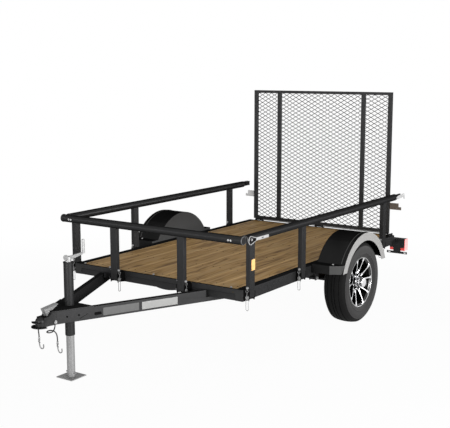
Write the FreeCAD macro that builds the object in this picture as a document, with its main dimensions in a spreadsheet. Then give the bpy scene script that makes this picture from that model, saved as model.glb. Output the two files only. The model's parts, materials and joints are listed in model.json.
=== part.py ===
import FreeCAD, Part
import math
import os
import Sketcher

from FreeCAD import Placement, Rotation, Vector

# Utility trailer: a single axle, a planked deck in a channel frame, fold-down rails
# and a mesh ramp gate. Millimetres; X forward to the coupler, Y left, Z up from the
# floor. The origin lies on the floor under the middle of the overall length.

SIZES = {
    # Lengths of the whole
    "tongue_reach": 1160.0,
    "frame_length": 2440.0,
    "rear_overhang": 80.0,
    # Channel frame
    "frame_width": 1524.0,
    "frame_top": 502.0,
    "frame_height": 79.0,
    "frame_wall": 4.0,
    "side_flange": 63.0,
    "front_flange": 21.0,
    "rear_flange": 30.0,
    "lower_flange": 50.0,
    "front_band": 33.0,
    "front_step": 3.0,
    "member_width": 50.0,
    "member_count": 4.0,
    # Deck boards
    "board_thickness": 38.0,
    "board_pitch": 158.0,
    "first_board": 175.0,
    "board_gap": 2.0,
    # Tongue
    "tongue_half_width": 497.5,
    "tongue_apex_back": 47.0,
    "tongue_flange": 42.0,
    "tongue_wall": 4.5,
    "tongue_height": 80.0,
    "tongue_drop": 31.0,
    "tongue_end_inset": 62.0,
    "tongue_notch_ahead": 30.0,
    "tongue_nib": 4.0,
    "gusset_thickness": 6.0,
    "gusset_behind_jack": 67.0,
    "gusset_front": 121.0,
    # Coupler
    "ball_radius": 25.8,
    "socket_wall": 7.2,
    "socket_height": 32.0,
    "lip_radius": 58.0,
    "lip_thickness": 5.0,
    "neck_back": 40.6,
    "coupler_top": 60.0,
    "coupler_wall": 6.0,
    "lever_width": 32.0,
    "lever_reach": 96.0,
    "lever_lean": 24.0,
    "lever_front_rise": 50.0,
    "lever_back_rise": 42.0,
    "lever_tip_depth": 7.0,
    "lever_bend_back": 50.0,
    "lever_bend_rise": 10.0,
    # Jack
    "jack_back": 311.0,
    "jack_radius": 31.0,
    "jack_wall": 4.7,
    "jack_low": 279.0,
    "jack_high": 757.0,
    "jack_cap": 6.0,
    "jack_cap_proud": 2.0,
    "leg_overlap": 151.0,
    "foot_width": 136.0,
    "foot_thickness": 6.0,
    "foot_pin_height": 30.0,
    "foot_pin_radius": 5.0,
    "foot_pin_length": 84.0,
    "crank_hub_radius": 20.0,
    "crank_hub_height": 34.0,
    "crank_disc_radius": 18.0,
    "crank_disc_width": 10.0,
    "crank_reach": 135.0,
    "crank_width": 8.0,
    "crank_offset": 10.0,
    "crank_depth": 20.0,
    "crank_tip_depth": 10.0,
    "crank_bend": 40.0,
    "grip_radius": 9.5,
    "grip_height": 92.0,
    # Rails
    "rail_radius": 28.5,
    "rail_rise": 352.0,
    "side_rail_out": 28.5,
    "front_rail_ahead": 65.0,
    "front_rail_proud": 20.5,
    "rail_corner_gap": 6.0,
    "rail_rear_gap": 90.0,
    "rail_tab_reach": 120.0,
    "rail_tab_height": 40.0,
    "rail_tab_thickness": 8.0,
    "post_width": 60.0,
    "post_depth": 32.0,
    "front_post_back": 49.0,
    "middle_post_ahead_of_axle": 616.0,
    "rear_post_ahead": 314.5,
    "front_post_half": 303.0,
    "pivot_drop": 47.0,
    "pivot_radius": 6.35,
    "pivot_clearance": 0.08,
    "ear_thickness": 5.0,
    "ear_gap": 0.5,
    "ear_margin": 17.0,
    "ear_shoulder": 10.0,
    "ear_beak_drop": 26.0,
    "ear_beak_width": 6.0,
    "bracket_plate": 4.0,
    "bracket_top_gap": 4.0,
    "bracket_bottom_gap": 2.0,
    "bolt_head_radius": 9.5,
    "bolt_head_height": 6.0,
    "lock_pin_rise": 17.0,
    "lock_pin_radius": 8.0,
    "lock_pin_proud": 9.0,
    "latch_plate_length": 153.0,
    "latch_plate_height": 20.0,
    "latch_drop": 8.0,
    "latch_plate_thickness": 3.0,
    "latch_wire_radius": 2.6,
    "latch_loop_length": 104.0,
    "latch_loop_height": 72.0,
    "latch_loop_narrow": 16.0,
    "latch_loop_front_gap": 10.0,
    "hook_length": 150.0,
    "hook_top": 22.0,
    "hook_shoulder": 15.0,
    "hook_tip_drop": 28.0,
    "hook_tip_width": 24.0,
    "hanging_pin_length": 76.0,
    "hanging_pin_width": 20.0,
    "hanging_pin_wire": 2.0,
    # Ramp gate
    "gate_inset": 54.0,
    "gate_rise": 18.6,
    "gate_height": 1235.2,
    "gate_depth": 25.0,
    "gate_ahead": 15.0,
    "gate_upright": 36.0,
    "gate_rail": 25.0,
    "gate_bay": 275.5,
    "hinge_behind": 15.0,
    "hinge_rise": 8.0,
    "hinge_rod_radius": 6.35,
    "sleeve_radius": 10.0,
    "sleeve_length": 60.0,
    "sleeve_inset": 48.0,
    "gate_web_rise": 4.0,
    "lug_length": 10.0,
    "lug_gap": 3.0,
    "mesh_pitch_wide": 66.0,
    "mesh_pitch_high": 36.0,
    "strand_width": 4.5,
    "strand_thickness": 1.6,
    "mesh_gap": 0.3,
    "mesh_border": 8.0,
    "gate_tab_height": 58.0,
    "gate_tab_rise": 208.4,
    "gate_tab_reach": 82.0,
    "gate_tab_step_reach": 25.0,
    "gate_tab_step_height": 26.0,
    "gate_tab_thickness": 5.0,
    # Wheels and axle
    "axle_ahead_of_rear": 1085.0,
    "tyre_radius": 320.0,
    "tyre_width": 194.0,
    "tyre_inner_gap": 22.5,
    "tyre_outer_gap": 16.5,
    "tread_half": 60.0,
    "crown_drop": 3.0,
    "shoulder_drop": 16.0,
    "shoulder_width": 14.0,
    "shoulder_bulge": 2.5,
    "bead_inset": 12.0,
    "bead_lip": 2.0,
    "tyre_wall": 11.0,
    "rim_radius": 195.0,
    "rim_width": 165.0,
    "rim_wall": 5.0,
    "flange_width": 4.0,
    "flange_slope": 6.0,
    "seat_width": 27.0,
    "bead_drop": 15.0,
    "well_drop": 30.0,
    "well_slope": 10.0,
    "hub_pad_radius": 78.0,
    "hub_pad_back": 54.0,
    "hub_pad_thickness": 18.0,
    "hub_radius": 36.0,
    "hub_flange_inset": 8.0,
    "hub_flange_thickness": 10.0,
    "hub_end_room": 4.0,
    "cap_radius": 37.0,
    "cap_proud": 28.0,
    "spoke_pairs": 5.0,
    "spoke_overlap": 15.6,
    "spoke_root": 20.0,
    "spoke_tip": 13.0,
    "spoke_spread": 17.0,
    "spoke_back": 40.0,
    "spoke_thickness": 26.0,
    "spindle_radius": 17.5,
    "spindle_short": 13.0,
    "spindle_bare": 40.0,
    "running_gap": 0.08,
    "axle_tube_radius": 30.0,
    "axle_tube_end": 2.0,
    "spring_inset": 33.0,
    "spring_width": 44.0,
    "spring_reach": 320.0,
    "leaf_thickness": 6.4,
    "leaf_end_length": 90.0,
    "spring_leaves": 3.0,
    "spring_eye_drop": 38.0,
    "spring_eye_radius": 14.0,
    "hanger_bolt_radius": 6.5,
    "hanger_thickness": 5.0,
    "hanger_width": 46.0,
    # Fenders
    "fender_radius": 392.0,
    "fender_opening": 330.0,
    "fender_gap": 8.0,
    "fender_wall": 3.0,
    "fender_above_axle": 132.0,
    "fender_step_height": 65.0,
    "fender_step_length": 32.0,
    "fender_chamfer_x": 44.0,
    "fender_chamfer_y": 86.0,
    "fender_corner": 17.0,
    "fender_pad": 60.0,
    "fender_pad_height": 40.0,
    # Rear lamps and plate bracket
    "lamp_gate_gap": 8.0,
    "lamp_width": 142.0,
    "lamp_top_drop": 32.0,
    "lamp_height": 102.0,
    "lamp_plate": 4.0,
    "lamp_plate_bottom": 24.0,
    "lamp_plate_side": 4.0,
    "lamp_back_gap": 11.0,
    "lamp_rim": 2.0,
    "lamp_stem_half": 34.0,
    "plate_bar_drop": 29.0,
    "plate_bar_height": 20.0,
    "plate_bar_length": 190.0,
    "plate_slot_spacing": 146.0,
    "plate_slot_length": 22.0,
    "plate_slot_height": 7.0,
    # Safety cables
    "cable_diameter": 8.0,
    "hook_wire": 3.6,
    "ferrule_length": 26.0,
    "ferrule_radius": 6.0,
    # Common clearance between welded or seated pieces
    "seat_gap": 0.3,
}

doc = FreeCAD.newDocument("UtilityTrailer")
sheet = doc.addObject("Spreadsheet::Sheet", "Sizes")
for row, (alias, number) in enumerate(SIZES.items(), start=1):
    sheet.set(f"A{row}", alias)
    sheet.set(f"B{row}", str(number))
    sheet.setAlias(f"B{row}", alias)
doc.recompute()


class Size:
    """A length in millimetres with the expression that binds it to the sheet."""

    def __init__(self, value, text):
        self.value = value
        self.text = text

    def __add__(self, other):
        other = as_size(other)
        return Size(self.value + other.value, f"({self.text} + {other.text})")

    def __radd__(self, other):
        return as_size(other) + self

    def __sub__(self, other):
        other = as_size(other)
        return Size(self.value - other.value, f"({self.text} - {other.text})")

    def __rsub__(self, other):
        return as_size(other) - self

    def __mul__(self, other):
        other = as_size(other)
        return Size(self.value * other.value, f"({self.text} * {other.text})")

    def __rmul__(self, other):
        return as_size(other) * self

    def __truediv__(self, other):
        other = as_size(other)
        return Size(self.value / other.value, f"({self.text} / {other.text})")

    def __neg__(self):
        return Size(-self.value, f"(0 - {self.text})")


def as_size(number):
    """A plain number as a Size, so that both can be added."""
    if isinstance(number, Size):
        return number
    return Size(float(number), f"({float(number)!r})")


class Trailer:
    """The sizes by name, each one bound to its cell."""


t = Trailer()
for alias, number in SIZES.items():
    setattr(t, alias, Size(number, f"Sizes.{alias}"))

ZERO = as_size(0)
SIDES = {"left": 1, "right": -1}
AXIS_TURN = {
    "x": Rotation(Vector(0, 1, 0), 90),
    "y": Rotation(Vector(1, 0, 0), -90),
    "z": Rotation(),
}
nodes = []


# Places that follow from the sizes
nose_x = (t.tongue_reach + t.frame_length + t.rear_overhang) / 2
front_x = nose_x - t.tongue_reach
rear_x = front_x - t.frame_length
tail_x = rear_x - t.rear_overhang
half_width = t.frame_width / 2
frame_bottom = t.frame_top - t.frame_height
inner_half = half_width - t.side_flange
deck_bottom = t.frame_top - t.board_thickness
apex_x = nose_x - t.tongue_apex_back
tongue_slope = t.tongue_half_width / (apex_x - front_x)
tongue_bottom = frame_bottom - t.tongue_drop
tongue_top = tongue_bottom + t.tongue_height
tongue_front_x = apex_x - (t.tongue_flange + t.tongue_nib) / tongue_slope
ball_x = nose_x - t.lip_radius
ball_z = tongue_bottom + t.socket_height
jack_x = nose_x - t.jack_back
rail_height = t.frame_top + t.rail_rise
side_rail_half = half_width + t.side_rail_out
front_rail_half = side_rail_half + t.front_rail_proud
pivot_height = t.frame_top - t.pivot_drop
lock_pin_height = t.frame_top + t.lock_pin_rise
gate_half = half_width - t.gate_inset
gate_inner_half = gate_half - t.gate_bay
sleeve_half = gate_half - t.sleeve_inset
gate_bottom = t.frame_top + t.gate_rise
gate_top = gate_bottom + t.gate_height
front_rail_x = front_x + t.front_rail_ahead
hinge_x = rear_x - t.hinge_behind
hinge_z = t.frame_top + t.hinge_rise
gate_x = rear_x + t.gate_ahead
gate_back_x = gate_x - t.gate_depth
axle_x = rear_x + t.axle_ahead_of_rear
axle_z = t.tyre_radius
fender_inner = half_width + t.fender_gap
tyre_middle = fender_inner + t.tyre_inner_gap + t.tyre_width / 2
fender_outer = tyre_middle + t.tyre_width / 2 + t.tyre_outer_gap
fender_low = axle_z + t.fender_above_axle
rim_face = tyre_middle + t.rim_width / 2
axle_tube_half = fender_inner + t.axle_tube_end
hub_inner = axle_tube_half + t.spindle_bare
spindle_end = rim_face - t.hub_pad_back - t.spindle_short
spring_half = half_width - t.spring_inset
spring_eye_height = frame_bottom - t.spring_eye_drop
side_post_x = [front_x - t.front_post_back, axle_x + t.middle_post_ahead_of_axle, rear_x + t.rear_post_ahead]
lamp_x = rear_x - t.lamp_back_gap
lamp_inner = gate_half + t.lamp_gate_gap
lamp_outer = lamp_inner + t.lamp_width
lamp_plate_outer = lamp_outer - t.lamp_plate_side
lamp_high = t.frame_top - t.lamp_top_drop
lamp_low = lamp_high - t.lamp_height
lamp_plate_low = lamp_low + t.lamp_plate_bottom


def place(item, at, turn=Rotation()):
    """Puts a solid at a bound place, after an optional fixed turn."""
    item.Placement = Placement(Vector(*[as_size(value).value for value in at]), turn)
    for axis, value in zip("xyz", at):
        item.setExpression(f"Placement.Base.{axis}", as_size(value).text)
    return item


def box(name, low, high):
    """A box between two bound corners."""
    item = doc.addObject("Part::Box", name)
    for field, start, end in zip(("Length", "Width", "Height"), low, high):
        item.setExpression(field, (end - start).text)
    return place(item, low)


def side_box(name, side, x_span, y_span, z_span):
    """A box whose Y span is measured outwards from the middle, on one side."""
    if side > 0:
        y_low, y_high = y_span
    else:
        y_low, y_high = -y_span[1], -y_span[0]
    return box(name, (x_span[0], y_low, z_span[0]), (x_span[1], y_high, z_span[1]))


def cylinder(name, radius, start, length, axis="z"):
    """A round bar that starts at a point and runs along one axis."""
    item = doc.addObject("Part::Cylinder", name)
    item.setExpression("Radius", as_size(radius).text)
    item.setExpression("Height", as_size(length).text)
    return place(item, start, AXIS_TURN[axis])


def side_cylinder(name, side, radius, x, y_span, z):
    """A round bar across the trailer, its span measured outwards on one side."""
    start = y_span[0] if side > 0 else -y_span[1]
    return cylinder(name, radius, (x, start, z), y_span[1] - y_span[0], "y")


def sphere(name, radius, centre):
    """A ball at a bound centre."""
    item = doc.addObject("Part::Sphere", name)
    item.setExpression("Radius", radius.text)
    return place(item, centre)


def cut(name, base, *tools):
    """The base with each tool taken away in turn."""
    for number, tool in enumerate(tools, start=1):
        last = number == len(tools)
        item = doc.addObject("Part::Cut", name if last else f"{name}_cut_{number}")
        item.Base = base
        item.Tool = tool
        base = item
    return base


def fuse(name, *items):
    """Pieces welded into one solid."""
    item = doc.addObject("Part::MultiFuse", name)
    item.Shapes = list(items)
    return item


def common(name, first, second):
    """What two pieces share."""
    item = doc.addObject("Part::Common", name)
    item.Base = first
    item.Tool = second
    return item


def group(name, items):
    """Like pieces that don't touch, kept in one node."""
    item = doc.addObject("Part::Compound", name)
    item.Links = list(items)
    return item


def feature(name, shape):
    """A piece whose shape is worked out from the sizes in code."""
    item = doc.addObject("Part::Feature", name)
    item.Shape = shape
    return item


def outline(sketch, corners):
    """A closed outline of straight edges with every corner bound to its place."""
    count = len(corners)
    for index in range(count):
        ends = (corners[index], corners[(index + 1) % count])
        points = [Vector(as_size(u).value, as_size(v).value, 0) for u, v in ends]
        sketch.addGeometry(Part.LineSegment(*points))
    for index in range(count):
        sketch.addConstraint(Sketcher.Constraint("Coincident", index, 2, (index + 1) % count, 1))
    for index, corner in enumerate(corners):
        for kind, value in zip(("DistanceX", "DistanceY"), corner):
            bound = as_size(value)
            number = sketch.addConstraint(Sketcher.Constraint(kind, -1, 1, index, 1, bound.value))
            sketch.setExpression(f"Constraints[{number}]", bound.text)


def new_sketch(body, plane, name):
    """A sketch on one of the body's own origin planes."""
    sketch = body.newObject("Sketcher::SketchObject", name)
    role = f"{plane}_Plane"
    base = [item for item in body.Origin.OriginFeatures if item.Role == role][0]
    sketch.AttachmentSupport = [(base, "")]
    sketch.MapMode = "FlatFace"
    return sketch


def prism(name, plane, corners, start, length):
    """A padded outline: plane XY runs up, XZ runs to +Y and YZ runs to +X from start."""
    body = doc.addObject("PartDesign::Body", name)
    sketch = new_sketch(body, plane, f"{name}_outline")
    outline(sketch, corners)
    pad = body.newObject("PartDesign::Pad", f"{name}_pad")
    pad.Profile = sketch
    pad.setExpression("Length", as_size(length).text)
    pad.Reversed = plane == "XZ"
    axis = {"XY": "z", "XZ": "y", "YZ": "x"}[plane]
    body.setExpression(f"Placement.Base.{axis}", as_size(start).text)
    return body


def node(item, label=None):
    """Marks an object as a finished piece that is written to its own file."""
    item.Label = label or item.Name
    nodes.append(item)
    return item


def rounded_wire(points, closed=False, ratio=0.45):
    """Straight runs joined by tangent arcs as large as their two runs allow."""
    count = len(points)
    corners = range(count) if closed else range(1, count - 1)
    arcs = {}
    for index in corners:
        corner = points[index]
        before = points[index - 1] - corner
        after = points[(index + 1) % count] - corner
        turn = math.pi - before.getAngle(after)
        reach = ratio * min(before.Length, after.Length)
        towards, away = before.normalize(), after.normalize()
        radius = reach / math.tan(turn / 2)
        middle = (towards + away).normalize()
        depth = radius / math.cos(turn / 2) - radius
        arcs[index] = (corner + towards * reach, corner + middle * depth, corner + away * reach, radius)
    edges = []
    last = count if closed else count - 1
    for index in range(last):
        following = (index + 1) % count
        start = arcs[index][2] if index in arcs else points[index]
        end = arcs[following][0] if following in arcs else points[following]
        edges.append(Part.LineSegment(start, end).toShape())
        if following in arcs:
            entry, bend, leave, _ = arcs[following]
            edges.append(Part.Arc(entry, bend, leave).toShape())
    return Part.Wire(edges), [round(arc[3], 1) for arc in arcs.values()]


def round_bar(points, radius, closed=False, ratio=0.45):
    """A round bar or cable bent along a path, and the radii of its bends."""
    wire, radii = rounded_wire(points, closed, ratio)
    first = wire.OrderedEdges[0]
    start = first.Vertexes[0].Point if first.Orientation == "Forward" else first.Vertexes[-1].Point
    profile = Part.Wire(Part.makeCircle(radius, start, first.tangentAt(first.FirstParameter)))
    pipe = wire.makePipeShell([profile], True, False)
    return pipe, radii, wire.Length


def make_frame():
    """The channel frame: two sides, the front and rear members and the cross members."""
    for word, side in SIDES.items():
        name = f"frame_side_{word}"
        whole = side_box(
            f"{name}_whole", side, (rear_x, front_x), (inner_half, half_width), (frame_bottom, t.frame_top))
        hollow = side_box(
            f"{name}_hollow", side, (rear_x + t.frame_wall, front_x - t.frame_wall),
            (inner_half, half_width - t.frame_wall),
            (frame_bottom + t.frame_wall, t.frame_top - t.frame_wall))
        node(cut(name, whole, hollow))

    wall, top = t.frame_wall, t.frame_top
    stepped = front_x - t.front_step
    front = [
        (front_x, top), (front_x, top - t.front_band), (stepped, top - t.front_band - t.front_step),
        (stepped, frame_bottom), (front_x - t.lower_flange, frame_bottom),
        (front_x - t.lower_flange, frame_bottom + wall), (stepped - wall, frame_bottom + wall),
        (stepped - wall, top - wall), (front_x - t.front_flange, top - wall), (front_x - t.front_flange, top),
    ]
    node(prism("frame_front", "XZ", front, -inner_half, 2 * inner_half))
    rear = [
        (rear_x, top), (rear_x, frame_bottom), (rear_x + t.lower_flange, frame_bottom),
        (rear_x + t.lower_flange, frame_bottom + wall), (rear_x + wall, frame_bottom + wall),
        (rear_x + wall, top - wall), (rear_x + t.rear_flange, top - wall), (rear_x + t.rear_flange, top),
    ]
    node(prism("frame_rear", "XZ", rear, -inner_half, 2 * inner_half))

    reach = half_width - wall - t.seat_gap
    members = []
    count = int(t.member_count.value)
    for index in range(1, count + 1):
        middle = rear_x + t.frame_length * index / (count + 1)
        name = f"cross_member_{index}"
        low_x, high_x = middle - t.member_width / 2, middle + t.member_width / 2
        whole = box(f"{name}_whole", (low_x, -reach, frame_bottom + wall), (high_x, reach, deck_bottom))
        hollow = box(
            f"{name}_hollow", (low_x, -reach, frame_bottom + 2 * wall),
            (high_x - wall, reach, deck_bottom - wall))
        members.append(cut(name, whole, hollow))
    node(group("cross_members", members))


def make_deck():
    """Planks that run the length of the deck, the outer two cut to what is left."""
    half = inner_half - t.seat_gap
    low_x = rear_x + t.rear_flange + t.seat_gap
    high_x = front_x - t.front_flange - t.seat_gap
    boards = []
    left = half
    width = t.first_board
    while left.value > -half.value:
        right = left - width
        if right.value < -half.value + t.board_gap.value:
            right = -half
        name = f"board_{len(boards) + 1}"
        boards.append(box(name, (low_x, right, deck_bottom), (high_x, left, t.frame_top)))
        left = right - t.board_gap
        width = t.board_pitch - t.board_gap
    node(group("deck_boards", boards))


def outer_y(x):
    """Half the tongue's outer width at a place along it."""
    return (apex_x - x) * tongue_slope


def tongue_strip(name, side, rear_end, front_end, span, heights):
    """A strip along one tongue beam, between two offsets inside its outer face."""
    corners = []
    for x, offset in ((rear_end, span[0]), (front_end, span[0]), (front_end, span[1]), (rear_end, span[1])):
        corners.append((x, (outer_y(x) - offset) * side))
    return prism(name, "XY", corners, heights[0], heights[1] - heights[0])


def make_tongue():
    """Two tube beams that meet at the coupler, and the gusset between them."""
    rear_end = apex_x - (half_width - t.tongue_end_inset) / tongue_slope
    for word, side in SIDES.items():
        name = f"tongue_{word}"
        wall = t.tongue_wall
        beam = tongue_strip(
            f"{name}_beam", side, rear_end, tongue_front_x, (ZERO, t.tongue_flange),
            (tongue_bottom, tongue_top))
        hollow = tongue_strip(
            f"{name}_hollow", side, rear_end, tongue_front_x, (wall, t.tongue_flange - wall),
            (tongue_bottom + wall, tongue_top - wall))
        notch = side_box(
            f"{name}_notch", side, (rear_end, front_x + t.tongue_notch_ahead), (ZERO, half_width),
            (frame_bottom, tongue_top))
        node(cut(name, beam, hollow, notch))

    behind = jack_x - t.gusset_behind_jack
    ahead = nose_x - t.gusset_front
    corners = [
        (behind, -outer_y(behind)), (ahead, -outer_y(ahead)),
        (ahead, outer_y(ahead)), (behind, outer_y(behind))]
    plate = prism("tongue_plate_blank", "XY", corners, tongue_top, t.gusset_thickness)
    hole = cylinder(
        "tongue_plate_hole", t.jack_radius + t.seat_gap, (jack_x, ZERO, tongue_top), t.gusset_thickness)
    node(cut("tongue_plate", plate, hole))


def make_coupler():
    """The coupler with its ball socket and lip, and the latch lever on top."""
    back_half = outer_y(tongue_front_x)
    outer = t.ball_radius + t.socket_wall
    neck_x = ball_x - t.neck_back
    top_front = tongue_bottom + t.coupler_top
    slope_x = nose_x - t.gusset_front
    plan = [
        (tongue_front_x, -back_half), (neck_x, -outer), (ball_x, -outer),
        (ball_x, outer), (neck_x, outer), (tongue_front_x, back_half),
    ]
    profile = [
        (tongue_front_x, tongue_bottom), (ball_x, tongue_bottom), (ball_x, top_front),
        (neck_x, top_front), (slope_x, tongue_top), (tongue_front_x, tongue_top),
    ]
    neck = common(
        "coupler_neck", prism("coupler_plan", "XY", plan, tongue_bottom, t.tongue_height),
        prism("coupler_profile", "XZ", profile, -back_half, 2 * back_half))
    barrel = cylinder("coupler_barrel", outer, (ball_x, ZERO, tongue_bottom), t.socket_height)
    dome = sphere("coupler_dome", outer, (ball_x, ZERO, ball_z))
    dome.Angle1 = 0.0
    disc = cylinder("coupler_disc", t.lip_radius, (ball_x, ZERO, tongue_bottom), t.lip_thickness)
    ahead = box(
        "coupler_lip_half", (ball_x, -t.lip_radius, tongue_bottom),
        (nose_x, t.lip_radius, tongue_bottom + t.lip_thickness))
    body = fuse("coupler_body", neck, barrel, dome, common("coupler_lip", disc, ahead))
    socket = sphere("coupler_socket", t.ball_radius, (ball_x, ZERO, ball_z))
    mouth = cylinder("coupler_mouth", t.ball_radius, (ball_x, ZERO, tongue_bottom), t.socket_height)
    hollow_half = outer - t.coupler_wall
    hollow = box(
        "coupler_hollow", (tongue_front_x + t.coupler_wall, -hollow_half, tongue_bottom),
        (neck_x, hollow_half, top_front - t.coupler_wall))
    node(cut("coupler", body, socket, mouth, hollow))

    gap = t.seat_gap
    tip_x = neck_x - t.seat_gap
    lever = [
        (tip_x, top_front + gap), (tip_x + t.lever_lean, top_front + t.lever_front_rise),
        (tip_x - t.lever_reach, tongue_top + t.lever_back_rise),
        (tip_x - t.lever_reach, tongue_top + t.lever_back_rise - t.lever_tip_depth),
        (tip_x - t.lever_bend_back, tongue_top + t.lever_bend_rise),
        (slope_x + gap, tongue_top + t.lever_bend_rise), (slope_x + gap, tongue_top + gap),
    ]
    node(prism("coupler_latch", "XZ", lever, -t.lever_width / 2, t.lever_width))


def make_jack():
    """The top-wind jack: fixed tube and crank, and the leg and foot that slide."""
    tube = cylinder("jack_outer", t.jack_radius, (jack_x, ZERO, t.jack_low), t.jack_high - t.jack_low)
    bore_radius = t.jack_radius - t.jack_wall
    bore_top = t.jack_high - t.jack_cap
    bore = cylinder("jack_bore", bore_radius, (jack_x, ZERO, t.jack_low), bore_top - t.jack_low)
    rim = cylinder("jack_rim", t.jack_radius + t.jack_cap_proud, (jack_x, ZERO, bore_top), t.jack_cap)
    node(fuse("jack_tube", cut("jack_bored", tube, bore), rim))

    hub = cylinder("crank_hub", t.crank_hub_radius, (jack_x, ZERO, t.jack_high), t.crank_hub_height)
    arm_z = t.jack_high + t.crank_hub_height
    disc = cylinder(
        "crank_disc", t.crank_disc_radius,
        (jack_x + t.crank_hub_radius - t.crank_disc_width / 2, ZERO, arm_z - t.crank_disc_radius / 3),
        t.crank_disc_width, "x")
    end_x = jack_x - t.crank_reach
    arm = [
        (jack_x, arm_z - t.crank_depth), (jack_x, arm_z + t.crank_tip_depth / 2),
        (end_x, arm_z + t.crank_tip_depth), (end_x, arm_z),
        (jack_x - t.crank_bend, arm_z - t.crank_depth * 0.8),
    ]
    bar = prism("crank_arm", "XZ", arm, t.crank_offset, t.crank_width)
    grip_y = t.crank_offset + t.crank_width / 2
    grip = cylinder("crank_grip", t.grip_radius, (end_x + t.grip_radius, grip_y, arm_z), t.grip_height)
    node(fuse("jack_crank", hub, disc, bar, grip))

    leg_radius = bore_radius - t.seat_gap
    leg_top = t.jack_low + t.leg_overlap
    leg = cylinder("leg_tube", leg_radius, (jack_x, ZERO, t.foot_thickness), leg_top - t.foot_thickness)
    pin = cylinder(
        "leg_pin", t.foot_pin_radius, (jack_x, -t.foot_pin_length / 2, t.foot_pin_height),
        t.foot_pin_length, "y")
    node(fuse("jack_leg", leg, pin))
    half = t.foot_width / 2
    node(box("jack_foot", (jack_x - half, -half, ZERO), (jack_x + half, half, t.foot_thickness)))


def ear_outline(out, pivot_out):
    """One bracket ear, seen along its bolt: from the frame face out past the pivot."""
    end = pivot_out + t.ear_margin
    beak = end - t.ear_beak_width
    low = pivot_height - t.ear_beak_drop
    return [
        (out(ZERO), t.frame_top - t.bracket_top_gap), (out(end - t.ear_margin), t.frame_top),
        (out(end), t.frame_top - t.ear_shoulder), (out(end), pivot_height), (out(beak), low),
        (out(beak - t.ear_margin / 2), low + t.ear_beak_width),
        (out(ZERO), frame_bottom + t.bracket_bottom_gap),
    ]


def bracket(name, axis, along, out, pivot_out):
    """A post bracket: a plate on the frame face, two ears and the pivot bolt."""
    gap = t.post_width / 2 + t.ear_gap
    outer = gap + t.ear_thickness
    plane = {"x": "YZ", "y": "XZ"}[axis]
    corners = ear_outline(out, pivot_out)
    ears = [
        prism(f"{name}_ear_a", plane, corners, along + gap, t.ear_thickness),
        prism(f"{name}_ear_b", plane, corners, along - outer, t.ear_thickness),
    ]
    face_low, face_high = sorted((out(ZERO), out(t.bracket_plate)), key=lambda size: size.value)
    z_span = (frame_bottom + t.bracket_bottom_gap, t.frame_top - t.bracket_top_gap)
    pivot = out(pivot_out)
    if axis == "x":
        plate = box(
            f"{name}_plate", (along - outer, face_low, z_span[0]), (along + outer, face_high, z_span[1]))
        start, head = (along - outer, pivot, pivot_height), (along + outer, pivot, pivot_height)
    else:
        plate = box(
            f"{name}_plate", (face_low, along - outer, z_span[0]), (face_high, along + outer, z_span[1]))
        start, head = (pivot, along - outer, pivot_height), (pivot, along + outer, pivot_height)
    bolt = cylinder(f"{name}_bolt", t.pivot_radius, start, 2 * outer, axis)
    cap = cylinder(f"{name}_head", t.bolt_head_radius, head, t.bolt_head_height, axis)
    return fuse(name, plate, bolt, cap, *ears)


def post(name, axis, along, centre, tube):
    """A rail post: rounded at its pivot, bored for the bolt and coped to its tube."""
    half, depth = t.post_width / 2, t.post_depth / 2
    if axis == "x":
        low, high = (along - half, centre - depth, pivot_height), (along + half, centre + depth, rail_height)
        foot_start = (along - half, centre, pivot_height)
        pin_start = (along - half - t.lock_pin_proud, centre, lock_pin_height)
    else:
        low, high = (centre - depth, along - half, pivot_height), (centre + depth, along + half, rail_height)
        foot_start = (centre, along - half, pivot_height)
        pin_start = (centre, along - half - t.lock_pin_proud, lock_pin_height)
    blank = fuse(
        f"{name}_blank", box(f"{name}_bar", low, high),
        cylinder(f"{name}_foot", depth, foot_start, t.post_width, axis),
        cylinder(f"{name}_lock", t.lock_pin_radius, pin_start, t.post_width + 2 * t.lock_pin_proud, axis))
    bore = cylinder(f"{name}_bore", t.pivot_radius + t.pivot_clearance, foot_start, t.post_width, axis)
    return cut(name, blank, bore, tube)


def make_side_rails():
    """The two side rails, each a tube, three posts and latches, and their fixed brackets."""
    tube_front = front_rail_x - t.rail_radius - t.rail_corner_gap
    tube_rear = rear_x + t.rail_rear_gap
    brackets = []
    for word, side in SIDES.items():
        centre = side_rail_half * side
        tube = cylinder(
            f"rail_bar_{word}", t.rail_radius, (tube_rear, centre, rail_height), tube_front - tube_rear, "x")
        tab = side_box(
            f"rail_tab_{word}", side, (tube_rear - t.rail_tab_reach, tube_rear + t.rail_radius),
            (side_rail_half - t.rail_tab_thickness / 2, side_rail_half + t.rail_tab_thickness / 2),
            (rail_height - t.rail_tab_height / 2, rail_height + t.rail_tab_height / 2))
        node(fuse(f"rail_tube_{word}", tube, tab))

        posts = []
        for index, x in enumerate(side_post_x, start=1):
            posts.append(post(f"rail_post_{word}_{index}", "x", x, centre, tube))
            brackets.append(bracket(
                f"rail_bracket_{word}_{index}", "x", x, lambda reach: (half_width + reach) * side,
                t.side_rail_out))
        node(group(f"rail_posts_{word}", posts))
        node(make_rail_latch(word, side, tube_front, tube_rear))
    return brackets


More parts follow.
